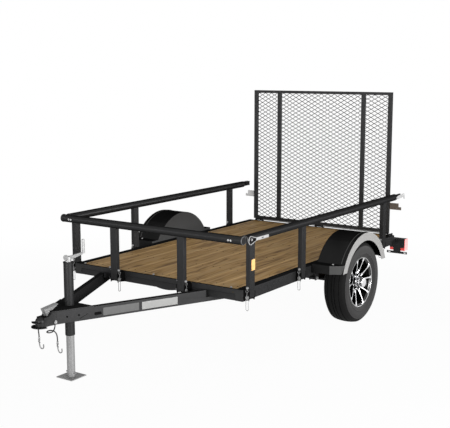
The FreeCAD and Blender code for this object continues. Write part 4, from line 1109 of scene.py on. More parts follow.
def smooth_curve(name: str, points: Sequence[Point], resolution: int) -> bpy.types.Curve:
    """Makes the smooth open curve that a route's control points give.

    Args:
        name: The curve's name.
        points: The route, whose first and last point it starts and ends on.
        resolution: Its spans from point to point.

    Returns:
        The curve.
    """
    curve = bpy.data.curves.new(name, "CURVE")
    curve.dimensions = "3D"
    curve.resolution_u = resolution
    spline = curve.splines.new("NURBS")
    spline.points.add(len(points) - 1)
    for target, point in zip(spline.points, points):
        target.co = (*point, 1.0)
    spline.order_u = 3
    spline.use_endpoint_u = True
    return curve


def smooth_path(points: Sequence[Point]) -> list[Vector]:
    """Reads points from the smooth line of a route.

    Args:
        points: The route.

    Returns:
        Points close together along the line.
    """
    holder = bpy.data.objects.new("route", smooth_curve("route", points, 8))
    mesh = bpy.data.meshes.new_from_object(holder)
    found = [vertex.co.copy() for vertex in mesh.vertices]
    bpy.data.objects.remove(holder)
    bpy.data.meshes.remove(mesh)
    return found


@dataclass
class Bed:
    """The frame under the deck: its channels, cross members, brackets and hinge lugs."""

    post_x: tuple[float, ...] = (0.631, -0.059, -1.4455)
    pivot_y: float = 0.7905
    pivot_z: float = 0.455
    ear_reach: float = 0.0355
    front_post_y: float = 0.303
    front_rail_x: float = 0.745
    top: float = 0.502
    screw_x: float = 0.653
    screw_y: tuple[float, ...] = (-0.682, -0.435, -0.02, 0.651)
    clip_off: float = 0.006
    clip_z: float = 0.499
    clip_radius: float = 0.009
    clip_wire: float = 0.0013
    clip_tail: tuple[float, ...] = (0.024, 0.016, 0.008)
    end_face: Block = ((0.6799, 0.6806), (0.7, 0.7605), (0.437, 0.489))
    end_seam: Block = ((0.6799, 0.6802), (0.678, 0.69), (0.478, 0.482))
    lever: tuple[Point, Point] = ((-1.7595, 0.734, 0.502), (-1.694, 0.746, 0.519))
    spring_y: float = 0.7562
    spring_x: Span = (-0.355, -0.995)
    spring_z: float = 0.385

    def build(self) -> None:
        """Dresses the steel, then adds bolts, clips and the deck screws' front row."""
        refine_all(COAT, 0.002, "frame_side_left", "frame_side_right", "frame_front", "frame_rear", "cross_members")
        refine_all(EAR_COAT, 0.0009, "rail_brackets")
        refine_all(COAT, 0.0009, "hinge_lugs")
        places = []
        for side in Side:
            y, front_y = side.y(self.pivot_y), side.y(self.front_post_y)
            for x in self.post_x:
                places += [((x + self.ear_reach * way, y, self.pivot_z), (way, 0, 0)) for way in (1, -1)]
            places += [
                ((self.front_rail_x, front_y + self.ear_reach * way, self.pivot_z), (0, way, 0)) for way in (1, -1)]
        add_bolts("pivot_bolts", FRAME_BOLT, places)
        self.build_clips()
        add_bolts("deck_edge_screws", SMALL_BOLT, [((self.screw_x, y, self.top), UP) for y in self.screw_y])
        self.build_corners()

    def build_clips(self) -> None:
        """A clip on each bracket's lock pin: a wire ring and its straight tail."""
        off = self.ear_reach + self.clip_off
        places = [(x + off, side.y(self.pivot_y), (0, 1)) for side in Side for x in self.post_x]
        places += [(self.front_rail_x, side.y(self.front_post_y) + off, (-1, 0)) for side in Side]
        form = Form()
        for x, y, (along_x, along_y) in places:
            tail = [(x, y, self.clip_z - self.clip_radius - drop) for drop in self.clip_tail]
            ring = [
                (x + u * along_x, y + u * along_y, self.clip_z + v)
                for u, v in arc((0.0, 0.0), self.clip_radius, -90, 270, 20)]
            form.tube([*tail, *ring], self.clip_wire, 6)
        add_piece("lock_pin_clips", form, [ZINC], slot=Slot.ZINC)

    def build_corners(self) -> None:
        """The square tube ends at the front corners, the latch lever at the left rear one, the spring bolts."""
        form = Form()
        for side in Side:
            form.slab(side, *self.end_face, finish=0)
            form.slab(side, *self.end_seam, finish=1)
        add_piece("frame_end_faces", form, [END_COAT, RUST_BROWN], rounding=0.0003)
        form = Form()
        form.box(*self.lever)
        add_piece("rear_corner_lever", form, [COAT], rounding=0.002)
        add_bolts("spring_bolts", FRAME_BOLT, [
            ((x, side.y(self.spring_y), self.spring_z), side.out) for side in Side for x in self.spring_x])


@dataclass
class Deck:
    """Nine pine planks laid lengthwise, each with eased edges and its own figure."""

    gap: float = 0.0016
    ease: float = 0.002
    widest_seam: float = 0.01
    uneven_top: float = 0.0008
    uneven_end: float = 0.003
    rows_x: tuple[float, ...] = (0.6, 0.19, -0.31, -0.82, -1.27, -1.68)
    screw_inset: float = 0.03
    screw_depth: float = 0.0028
    seed: int = 11

    def boards(self) -> list[Span]:
        """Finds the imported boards' edges along Y, out to the middles of the seams.

        Returns:
            Each board's two edges.
        """
        form = node_form("deck_boards")
        lines = sorted({round(vertex.co.y, 4) for vertex in form.mesh.verts})
        form.mesh.free()
        seams = [(near + far) / 2 for near, far in zip(lines, lines[1:]) if far - near < self.widest_seam]
        edges = [lines[0], *seams, lines[-1]]
        return list(zip(edges, edges[1:]))

    def build(self) -> None:
        """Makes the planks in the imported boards' places, then their screws."""
        low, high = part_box("deck_boards")
        boards = self.boards()
        form = Form()
        board_layer, across_layer = (form.mesh.verts.layers.float.new(name) for name in ("board", "across"))
        draw = random.Random(self.seed)
        tops = []
        for number, (start, end) in enumerate(boards):
            near, far = start + self.gap / 2, end - self.gap / 2
            top = high.z - draw.uniform(0.0, self.uneven_top)
            tops.append(top)
            count = len(form.mesh.verts)
            outline = [
                (near, low.z), (far, low.z), (far, top - self.ease), (far - self.ease, top),
                (near + self.ease, top), (near, top - self.ease)]
            form.prism(outline, Axis.X, low.x + draw.uniform(0.0, self.uneven_end), high.x)
            form.mesh.verts.ensure_lookup_table()
            corners = form.mesh.verts[count:]
            shade = [number + draw.random() for _ in corners][0]
            for corner in corners:
                corner[board_layer] = shade
                corner[across_layer] = 2 * (corner.co.y - near) / (far - near) - 1
        add_piece("deck_planks", form, [PLANKS], "deck_boards", sharp=25.0)
        add_bolts("deck_screws", DECK_SCREW, [
            ((x, y, top - self.screw_depth), UP)
            for x in self.rows_x for (start, end), top in zip(boards, tops)
            for y in (start + self.screw_inset, end - self.screw_inset)], COAT)


@dataclass
class Tongue:
    """The two tongue beams, their gusset plate, and what is fixed to them; places are of (X, Z)."""

    slope: float = 0.447
    apex: float = 1.793
    plates: tuple[Span, Span] = ((1.404, 1.173), (1.153, 0.912))
    plate_heights: Span = (0.405, 0.456)
    bolts: tuple[Span, Span] = ((1.627, 0.432), (1.555, 0.432))
    coupler_bolt: Span = (1.699, 0.409)
    slot: Span = (1.437, 0.4245)
    slot_half: float = 0.0235
    slot_radius: float = 0.0095
    seam: tuple[Span, Span] = ((1.549, 0.408), (1.499, 0.433))
    seam_half: float = 0.0012
    proud: float = 0.0002
    plate_out: float = 0.0012
    slot_out: float = 0.0007
    seam_out: float = 0.0009

    def web_point(self, x: float, z: float, out: float, side: Side) -> Vector:
        """A point on a beam's outer face, or proud of it.

        Args:
            x: Its place along the trailer.
            z: Its height.
            out: How far it stands off the face.
            side: Which beam.

        Returns:
            The point.
        """
        return Vector((x, side.y((self.apex - x) * self.slope), z)) + self.normal(side) * out

    def normal(self, side: Side) -> Vector:
        """The direction that a beam's outer face looks to."""
        return Vector((self.slope, side.value, 0.0)).normalized()

    def sheet(self, form: Form, side: Side, outline: Sequence[Point], far: float) -> None:
        """Adds a thin sheet just off a beam's outer face, out to a given distance."""
        form.loft([[self.web_point(x, z, out, side) for x, z in outline] for out in (self.proud, far)])

    def seats(self, *places: Span) -> list[tuple[Point, Point]]:
        """Bolts' seats and directions at places on both beams."""
        return [(self.web_point(x, z, 0.0, side), self.normal(side)) for side in Side for x, z in places]

    def build(self) -> None:
        """Dresses the beams, then adds the blank plates, bolts, slots and seams."""
        refine_all(COAT, 0.0018, "tongue_left", "tongue_right")
        refine_all(COAT, WIDE_EDGE, "tongue_plate")
        form = Form()
        low, high = self.plate_heights
        for form.finish, (front, rear) in enumerate(self.plates):
            self.sheet(form, Side.LEFT, ((front, low), (rear, low), (rear, high), (front, high)), self.plate_out)
        add_piece("blank_plates", form, [BLANK_PLATE, PALE_PLATE], slot=Slot.CABLE, rounding=0.0004)
        add_bolts("tongue_bolts", TONGUE_BOLT, self.seats(*self.bolts), INNER_BLACK)
        self.build_slots()
        add_bolts("coupler_bolts", FRAME_BOLT, self.seats(self.coupler_bolt))

    def build_slots(self) -> None:
        """A black sheet of painted shade in each beam's long hole, and the welded seam ahead of it."""
        middle, height = self.slot
        off, radius = self.slot_half - self.slot_radius, self.slot_radius
        slot = arc((middle + off, height), radius, -90, 90, 8) + arc((middle - off, height), radius, 90, 270, 8)
        start, end = (Vector(place) for place in self.seam)
        across = (end - start).normalized().orthogonal() * self.seam_half
        seam = (start - across, end - across, end + across, start + across)
        form = Form()
        for side in Side:
            form.finish = 0
            self.sheet(form, side, slot, self.slot_out)
            form.finish = 1
            self.sheet(form, side, seam, self.seam_out)
        add_piece("beam_slots", form, [INNER_BLACK, POCKET])


@dataclass
class Coupler:
    """The ball coupler with its pressed lips, and the latch lever on top."""

    ball_x: float = 1.782
    lip_radius: float = 0.055
    lip_sweep: float = 52
    bore_radius: float = 0.028
    bore_sweep: float = 60
    lip_z: Span = (0.4235, 0.428)
    lever_half: float = 0.0161
    dimples: tuple[Place, ...] = (
        (1.7435, 0.4865, 0.0028), (1.744, 0.471, 0.0028), (1.7065, 0.4925, 0.0032), (1.7195, 0.4745, 0.0045))
    dimple: Profile = ((1.0, 0.0), (0.7, 0.0007), (0.2, 0.0004))
    fold: Profile = ((1.7625, 0.5015), (1.6465, 0.5135), (1.6465, 0.508), (1.7602, 0.4958))
    fold_thick: float = 0.0012

    def build(self) -> None:
        """Dresses the coupler and the latch, and adds the upper lip and the lever's pressed marks."""
        refine_all(COAT, 0.0015, "coupler")
        refine_all(ZINC, WIDE_EDGE, "coupler_latch")
        ball = (self.ball_x, 0.0)
        form = Form()
        outline = arc(ball, self.lip_radius, -self.lip_sweep, self.lip_sweep, 20)
        outline += arc(ball, self.bore_radius, self.bore_sweep, -self.bore_sweep, 10)
        form.prism(outline, Axis.Z, *self.lip_z)
        add_piece("coupler_upper_lip", form, [COAT], rounding=FINE_EDGE)
        form = Form()
        for side in Side:
            y = side.y(self.lever_half)
            # The pressed dimples take darker chrome as painted shade.
            form.finish = 1
            for x, z, radius in self.dimples:
                form.lathe([(radius * share, depth) for share, depth in self.dimple], (x, y, z), side.out, 14)
            form.finish = 0
            form.prism(self.fold, Axis.Y, *sorted((y, side.y(self.lever_half + self.fold_thick))))
        add_piece("latch_lever_marks", form, [HOOK_ZINC, CHROME_PAINTED_SHADE], slot=Slot.ZINC)


@dataclass
class Jack:
    """The drop-leg jack: tube, crank, leg and foot."""

    def build(self) -> None:
        """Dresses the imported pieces."""
        refine_all(TUBE_COAT, WIDE_EDGE, "jack_tube")
        refine_all(BRIGHT_ZINC, FINE_EDGE, "jack_crank")
        refine_all(ZINC, FINE_EDGE, "jack_leg")
        refine_all(ZINC, WIDE_EDGE, "jack_foot")


@dataclass
class Rails:
    """The side rails and the front rail, with their end caps, posts and latches."""

    tube_radius: float = 0.0285
    rail_y: float = Bed.pivot_y
    rail_z: float = 0.854
    front_half: float = 0.811
    side_front: float = 0.7105
    pin_z: float = 0.519
    pin_radius: float = 0.0085
    pin_reach: float = 0.0345
    pin_half: float = 0.0046
    pin_face: float = 0.02
    front_pin_half: float = 0.009
    rolled_start: float = -0.002
    rolled_share: float = 0.85
    bolt_depth: float = 0.0004
    rivet_depth: float = 0.0003
    rivet_drop: float = 0.002
    cap_profile: Profile = (
        (-0.0057, -0.012), (0.0008, -0.012), (0.0012, -0.003), (0.0, 0.0008), (-0.00285, 0.001),
        (-0.00399, -0.0015), (-0.021375, -0.0025))
    reflector: Block = ((0.601, 0.644), (0.8063, 0.809), (0.636, 0.710))
    rivet_y: Span = (0.707, 0.727)
    loop_bolt: Span = (0.66, 0.849)
    latch_holes: tuple[Block, ...] = (
        ((0.617, 0.629), (0.818, 0.8188), (0.8395, 0.8515)), ((0.518, 0.542), (0.8224, 0.8232), (0.8435, 0.8485)))

    def cap(self, form: Form, end: Point, direction: Point) -> None:
        """Adds a tube's end plug: a rolled rim with a painted highlight and a dished face.

        Args:
            form: The form that takes it.
            end: The middle of the tube's end.
            direction: The way that the end faces.
        """
        middle, facing = Vector(end), Vector(direction)
        count = len(form.mesh.faces)
        form.lathe([(self.tube_radius + more, place) for more, place in self.cap_profile], end, direction, 36)
        for face in form.faces_after(count):
            away = face.calc_center_median() - middle
            along = away.dot(facing)
            off = (away - facing * along).length
            rolled = along > self.rolled_start and off > self.tube_radius * self.rolled_share
            # The rolled rim takes the painted highlight.
            face.material_index = int(rolled)

    def build(self) -> None:
        """Dresses tubes, posts and latches, with zinc on the posts' lock pin ends, and adds end caps."""
        self.build_front()
        for side in Side:
            self.build_side(side)

    def build_front(self) -> None:
        """The front rail that folds forward."""
        refine_all(TUBE_COAT, 0.0, "front_rail_tube")
        refine("front_rail_posts", [COAT, BRIGHT_ZINC], 0.0015, self.post_finish)
        form = Form()
        for side in Side:
            self.cap(form, (Bed.front_rail_x, side.y(self.front_half), self.rail_z), side.out)
        add_piece("front_rail_caps", form, [TUBE_COAT, CAP_RIM_HIGHLIGHT], body="front_rail")
        face_x = Bed.front_rail_x + self.tube_radius - self.rivet_depth
        add_bolts("front_rail_rivets", RIVET, [
            ((face_x, side.y(y), self.rail_z - self.rivet_drop), (1, 0, 0)) for side in Side for y in self.rivet_y],
            PALE_ZINC, "front_rail")

    def post_finish(self, face: Face) -> int:
        """Picks zinc for the lock pins' ends and coating for the rest of a post.

        Args:
            face: A face of the posts.

        Returns:
            Its finish number.
        """
        size = max((one.co - other.co).length for one in face.verts for other in face.verts)
        middle = face.calc_center_median()
        at_pin = abs(middle.z - self.pin_z) < self.pin_radius and size < self.pin_face
        beyond_side = any(abs(abs(middle.x - x) - self.pin_reach) < self.pin_half for x in Bed.post_x)
        off_front = abs(abs(abs(middle.y) - Bed.front_post_y) - self.pin_reach)
        beyond_front = abs(middle.x - Bed.front_rail_x) < self.front_pin_half and off_front < self.pin_half
        return int(at_pin and (beyond_side or beyond_front))

    def build_side(self, side: Side) -> None:
        """Makes a side rail, which folds outwards.

        Args:
            side: Its side.
        """
        word = side.word
        body = f"side_rail_{word}"
        refine_all(TUBE_COAT, 0.0, f"rail_tube_{word}")
        refine(f"rail_posts_{word}", [COAT, BRIGHT_ZINC], 0.0015, self.post_finish)
        refine_all(BRIGHT_ZINC, 0.0005, f"rail_latches_{word}")
        form = Form()
        self.cap(form, (self.side_front, side.y(self.rail_y), self.rail_z), (1, 0, 0))
        add_piece(f"rail_cap_{word}", form, [TUBE_COAT, CAP_RIM_HIGHLIGHT], body=body)
        bolt_x, bolt_z = self.loop_bolt
        seat = (bolt_x, side.y(self.rail_y + self.tube_radius - self.bolt_depth), bolt_z)
        add_bolts(f"latch_bolt_{word}", LATCH_BOLT, [(seat, side.out)], BRIGHT_ZINC, body)
        # The latch's holes are black sheets of painted shade.
        form = Form()
        for block in self.latch_holes:
            form.slab(side, *block)
        add_piece(f"latch_holes_{word}", form, [INNER_BLACK], body=body)
        form = Form()
        form.slab(side, *self.reflector)
        add_piece(f"reflector_{word}", form, [AMBER], body=body, slot=Slot.LAMP, rounding=0.001)


@dataclass
class Gate:
    """The ramp gate: frame, expanded mesh and hinge."""

    mesh_half: float = 0.7
    mesh_span: Span = (0.5286, 1.7478)
    mesh_x: Span = (-1.7732, -1.7709)
    columns: int = 21
    rows: int = 68
    strand: float = 0.0046
    bond: float = 0.003
    tab_start: float = 0.712

    def build(self) -> None:
        """Dresses the frame and rod, and makes the mesh."""
        refine("gate_uprights", [COAT, TAN_COAT, PALE_COAT], WIDE_EDGE, self.tab_finish)
        refine_all(COAT, WIDE_EDGE, "gate_rails")
        refine_all(BRIGHT_ZINC, 0.0, "hinge_rod")
        self.build_mesh()

    def tab_finish(self, face: Face) -> int:
        """A tan coat on the left tab, a pale one on the right tab, black on the rest."""
        y = face.calc_center_median().y
        return 0 if abs(y) < self.tab_start else 1 if y > 0 else 2

    def build_mesh(self) -> None:
        """One zigzag tooth of a strand, repeated in shifted rows over the whole gate."""
        base, top = self.mesh_span
        pitch = 2 * self.mesh_half / self.columns
        step = (top - base) / self.rows
        half, bond = pitch / 2, self.bond / 2
        rise = self.strand * math.hypot(1.0, step / (half - 2 * bond))
        middle = [(0.0, 0.0), (bond, 0.0), (half - bond, step), (half + bond, step), (pitch - bond, 0.0), (pitch, 0.0)]
        outline = [(u - self.mesh_half, base + v - rise / 2) for u, v in middle]
        outline += [(u - self.mesh_half, base + v + rise / 2) for u, v in reversed(middle)]
        form = Form()
        form.prism(outline, Axis.X, *self.mesh_x)
        mesh = realize(grid_of_parts(), form.done("tooth"), {
            "Columns": self.columns + 1, "Rows": self.rows, "Column Step": (0.0, pitch, 0.0),
            "Row Step": (0.0, 0.0, step), "Row Shift": (0.0, -half, 0.0), "Material": MESH_COAT.material()})
        self.trim(mesh)
        add_piece("gate_expanded_mesh", mesh, [MESH_COAT], "gate_mesh")

    def trim(self, mesh: bpy.types.Mesh) -> None:
        """Cuts the strands off at the gate's two side edges and closes their ends.

        Args:
            mesh: The strands.
        """
        cut = bmesh.new()
        cut.from_mesh(mesh)
        for side in Side:
            found = bmesh.ops.bisect_plane(
                cut, geom=[*cut.verts, *cut.edges, *cut.faces], plane_co=(0.0, side.y(self.mesh_half), 0.0),
                plane_no=side.out, clear_outer=True)
            edges = [item for item in found["geom_cut"] if isinstance(item, bmesh.types.BMEdge)]
            bmesh.ops.holes_fill(cut, edges=edges, sides=0)
        cut.to_mesh(mesh)
        cut.free()


@dataclass
class Wheel:
    """A wheel: tyre with tread, spoked rim with pockets, lug nuts and chrome cap.

    Sections are of (radius, distance from the trailer's middle plane, or for the tyre from its own).
    """

    side: Side
    centre: Span = (-0.675, 0.32)
    tyre_middle: float = 0.8895
    tyre_radius: float = 0.32
    tread_start: float = 0.291
    tread_half: float = 0.07
    crown_drop: float = 0.008
    groove: float = 0.007
    tread_lines: tuple[float, ...] = (0.0065, 0.0095, 0.013, 0.016, 0.041, 0.045, 0.048, 0.052, 0.070)
    groove_lines: tuple[float, ...] = (0.0095, 0.013, 0.045, 0.048)
    inner_wall: Profile = (
        (0.186, -0.078), (0.2, -0.082), (0.224, -0.092), (0.25, -0.0955), (0.272, -0.0935), (0.288, -0.088),
        (0.299, -0.0805), (0.3055, -0.0745))
    outer_wall: Profile = (
        (0.3065, 0.0765), (0.296, 0.0855), (0.287, 0.0902), (0.2855, 0.092), (0.283, 0.092), (0.2815, 0.0915),
        (0.271, 0.0948), (0.252, 0.096), (0.232, 0.0944), (0.23, 0.0956), (0.226, 0.0956), (0.224, 0.094),
        (0.206, 0.086), (0.198, 0.082), (0.186, 0.078))
    lining: Profile = ((0.205, 0.06), (0.295, 0.07), (0.295, -0.07), (0.205, -0.06))
    lip: Profile = (
        (0.1875, 0.957), (0.1875, 0.966), (0.1905, 0.97), (0.1935, 0.9705), (0.195, 0.9685), (0.195, 0.962))
    seat: Profile = ((0.1785, 0.942), (0.1785, 0.955), (0.1875, 0.963), (0.1875, 0.957), (0.1835, 0.942))
    barrel: Profile = (
        (0.1785, 0.943), (0.1665, 0.93), (0.166, 0.85), (0.174, 0.83), (0.19, 0.8085), (0.195, 0.8085),
        (0.195, 0.815), (0.182, 0.822), (0.182, 0.84), (0.172, 0.856), (0.172, 0.925), (0.1835, 0.943))
    back: Profile = (
        (0.04, 0.9), (0.168, 0.868), (0.168, 0.872), (0.1, 0.905), (0.078, 0.918), (0.04, 0.918))
    pad: Profile = (
        (0.038, 0.92), (0.066, 0.92), (0.07, 0.927), (0.07, 0.933), (0.066, 0.937), (0.038, 0.938))
    drum: Profile = ((0.03, 0.814), (0.056, 0.814), (0.07, 0.835), (0.07, 0.9), (0.03, 0.9))
    cap: Profile = (
        (0.0296, 0.936), (0.041, 0.936), (0.041, 0.941), (0.036, 0.943), (0.036, 0.955), (0.033, 0.957),
        (0.033, 0.96), (0.0365, 0.962), (0.0365, 0.974), (0.033, 0.976), (0.033, 0.979), (0.0365, 0.981),
        (0.036, 0.994), (0.033, 0.9985), (0.028, 1.0), (0.006, 1.0))
    nut: Profile = (
        (0.0125, 0.0), (0.0125, 0.003), (0.0105, 0.004), (0.0105, 0.018), (0.008, 0.0235), (0.003, 0.025))
    bright_facing: float = 0.55
    bright_start: float = 0.93
    hub_face: float = 0.936
    groove_radius: float = 0.035
    groove_end: float = 0.996
    flange_start: float = 0.038
    lug_circle: float = 0.057
    pairs: int = 5
    spread: float = 17.0
    lean: float = 4.0
    spoke_stations: tuple[tuple[float, float, float, float], ...] = (
        (0.062, 0.011, 0.936, 1.0), (0.09, 0.008, 0.944, 0.7), (0.125, 0.006, 0.953, 0.38),
        (0.16, 0.006, 0.962, 0.12), (0.178, 0.009, 0.966, 0.0), (0.189, 0.017, 0.968, 0.0))
    spoke_section: Profile = (
        (-1.25, 0.02), (-1.0, 0.003), (-0.72, 0.0), (0.72, 0.0), (1.0, 0.003), (1.25, 0.02))

    def __post_init__(self) -> None:
        """Finds the axle's point in the middle plane."""
        self.start = (self.centre[0], 0.0, self.centre[1])

    def build(self) -> None:
        """Makes the tyre, the rim, the hub and the nuts."""
        self.build_tyre()
        self.build_rim()
        self.build_hub()

    def add_ring(self, form: Form, finish: int, profile: Sequence[Point], steps: int, looped: bool = True) -> None:
        """Adds a ring round the axle.

        Args:
            form: The form that takes it.
            finish: Its finish number.
            profile: Its section.
            steps: Points round the axle.
            looped: True where the section closes on itself.
        """
        form.finish = finish
        form.lathe(profile, self.start, self.side.out, steps, looped)

    def radius_of(self, face: Face) -> float:
        """How far the middle of a face is from the axle."""
        place = face.calc_center_median()
        return math.hypot(place.x - self.centre[0], place.z - self.centre[1])

    def build_tyre(self) -> None:
        """The casing, from a section with ribs, grooves and sidewall rings."""
        section = list(self.inner_wall)
        for place in (*(-line for line in reversed(self.tread_lines)), *self.tread_lines):
            crown = self.tyre_radius - self.crown_drop * (abs(place) / self.tread_half) ** 2.2
            section.append((crown - (self.groove if abs(place) in self.groove_lines else 0.0), place))
        section += [*self.outer_wall, *self.lining]
        form = Form()
        self.add_ring(form, 0, [(radius, self.tyre_middle + place) for radius, place in section], 120)
        for face in form.mesh.faces:
            # The tread takes the darker rubber, painted shade.
            face.material_index = int(self.radius_of(face) > self.tread_start)
        word = self.side.word
        add_piece(f"tyre_{word}_moulded", form, [TYRE, TREAD_PAINTED_SHADE], f"tyre_{word}", sharp=35.0)

    def turned(self, angle: float, radius: float, place: float) -> Vector:
        """Turns a point round the axle.

        Args:
            angle: Its angle from +X towards +Z, in degrees.
            radius: How far it is from the axle.
            place: Its distance from the trailer's middle plane.

        Returns:
            The point.
        """
        turn = math.radians(angle)
        return Vector((
            self.centre[0] + radius * math.cos(turn), self.side.y(place), self.centre[1] + radius * math.sin(turn)))

    def spoke(self, form: Form, angle: float, lean: float) -> None:
        """Adds one spoke: bright on its face, black at its sides.

        Args:
            form: The rim's form.
            angle: The spoke's middle at the rim, in degrees.
            lean: How far its root is turned back towards its pair's middle, in degrees.
        """
        rings = []
        for radius, half, face_place, share in self.spoke_stations:
            wide = math.degrees(half / radius)
            rings.append([
                self.turned(angle + lean * share + wide * across, radius, face_place - drop)
                for across, drop in self.spoke_section])
        count = len(form.mesh.faces)
        form.finish = 1
        form.loft(rings)
        for face in form.faces_after(count):
            face.normal_update()
            place = self.side.y(face.calc_center_median().y)
            if abs(face.normal.y) > self.bright_facing and place > self.bright_start:
                face.material_index = 0

    def build_rim(self) -> None:
        """The turned lip, the grey seat, the dark barrel and back, ten spokes in pairs and the pad."""
        form = Form()
        for finish, profile, steps in (
                (2, self.lip, 96), (3, self.seat, 96), (1, self.barrel, 96), (1, self.back, 72)):
            self.add_ring(form, finish, profile, steps)
        for pair in range(self.pairs):
            for way in (-1, 1):
                self.spoke(form, 90 + 360 / self.pairs * pair + self.spread * way, -way * self.lean)
        self.add_ring(form, 1, self.pad, 60)
        word = self.side.word
        add_piece(f"rim_{word}_machined", form, [ALLOY, POCKET, RIM_LIP, BARREL], f"rim_{word}", sharp=28.0)

    def build_hub(self) -> None:
        """The chrome cap in stacked rings, the drum behind it and five lug nuts."""
        word = self.side.word
        form = Form()
        self.add_ring(form, 1, self.drum, 48, looped=False)
        self.add_ring(form, 0, self.cap, 64, looped=False)
        for face in form.mesh.faces:
            out, away = abs(face.calc_center_median().y), self.radius_of(face)
            grooved = away < self.groove_radius and out < self.groove_end
            # The cap's sides and flange take darker chrome as painted shade; its end face stays bright.
            if out > self.hub_face and (grooved or away > self.flange_start):
                face.material_index = 2
        add_piece(f"hub_{word}_capped", form, [CHROME, INNER_BLACK, CHROME_PAINTED_SHADE], f"hub_{word}", sharp=28.0)
        form = Form()
        form.lathe(self.nut, self.turned(90 + 180 / self.pairs, self.lug_circle, self.hub_face), self.side.out, 6)
        mesh = realize(ring_of_parts(), form.done("nut"), {
            "Count": self.pairs, "Centre": self.start, "Material": CHROME.material()})
        add_piece(f"lug_nuts_{word}", mesh, [CHROME], body=f"wheel_{word}", slot=Slot.CHROME, rounding=FINE_EDGE)


@dataclass
class Axle:
    """The axle tube on its leaf springs, with U bolts, clamp plates and hangers."""

    x: float = -0.675
    spring_y: float = 0.729
    bolt_reach: Span = (0.036, 0.027)
    bolt_span: Span = (0.283, 0.372)
    bolt_radius: float = 0.005
    plate_half: Span = (0.045, 0.036)
    plate_z: tuple[Span, Span] = ((0.368, 0.374), (0.281, 0.287))

    def build(self) -> None:
        """Dresses the steel and adds the U bolts with their plates."""
        refine_all(COAT, 0.001, "axle_beam")
        refine_all(COAT, FINE_EDGE, "leaf_springs", "spring_hangers")
        form = Form()
        places = []
        reach_x, reach_y = self.bolt_reach
        half_x, half_y = self.plate_half
        for side in Side:
            y = side.y(self.spring_y)
            for x in (self.x - reach_x, self.x + reach_x):
                for place in (y - reach_y, y + reach_y):
                    form.tube([(x, place, z) for z in self.bolt_span], self.bolt_radius, 10)
                    places.append(((x, place, self.plate_z[0][1]), UP))
            for low, high in self.plate_z:
                form.box((self.x - half_x, y - half_y, low), (self.x + half_x, y + half_y, high))
        add_piece("spring_clamps", form, [COAT], rounding=0.001)
        add_bolts("spring_clamp_nuts", CLAMP_NUT, places)


@dataclass
class Fender:
    """A fender in one black coat: dark drum, skirt outside with a pressed ridge, and a stepped end each way; the skirt
    carries a painted reflection, the facets, ridge and inner wall painted light, the underside painted shade.
    """

    side: Side
    x: float = -0.675
    z: float = 0.32
    skirt_start: float = 0.9
    square_on: float = 0.95
    slanted: float = 0.3
    underside: float = 0.1
    wall: float = 0.772
    ridge_y: float = 0.969
    ridge_radius: float = 0.3914
    ridge_span: Span = (31, 149)
    ridge_wire: float = 0.0032
    bolt_reach: float = 0.373
    bolt_seat: Span = (0.919, 0.517)

    def finish_of(self, face: Face) -> int:
        """Picks a painted reflection for the skirt's outer faces, painted light for its slanted facets and the inner
        wall, painted shade for faces that look down or inwards, and the drum's black for the rest.

        Args:
            face: A face of the shell.

        Returns:
            Its finish number.
        """
        middle, normal = face.calc_center_median(), face.normal
        looks_out, place = self.side.y(normal.y), self.side.y(middle.y)
        if looks_out > self.slanted and place > self.skirt_start:
            return 1 if looks_out > self.square_on else 3
        if looks_out < -self.square_on and place < self.wall:
            return 4
        # Faces that look down or inwards take the black of painted shade.
        return 2 if normal.z < -self.underside or looks_out < -self.slanted else 0

    def build(self) -> None:
        """Dresses the shell and adds the ridge along the skirt's outer edge."""
        word = self.side.word
        refine(
            f"fender_{word}", [DRUM_COAT, SKIRT_PAINTED_REFLECTION, INNER_BLACK, FACET_PAINTED_LIGHT, WALL_PAINTED_LIGHT], 0.002, self.finish_of)
        form = Form()
        ridge = arc((self.x, self.z), self.ridge_radius, *self.ridge_span, 60)
        form.tube([(x, self.side.y(self.ridge_y), z) for x, z in ridge], self.ridge_wire, 8)
        add_piece(f"fender_ridge_{word}", form, [FACET_PAINTED_LIGHT], slot=Slot.FENDER)
        y, z = self.bolt_seat
        add_bolts(f"fender_bolts_{word}", SMALL_BOLT, [
            ((self.x + way * self.bolt_reach, self.side.y(y), z), UP) for way in (-1, 1)])


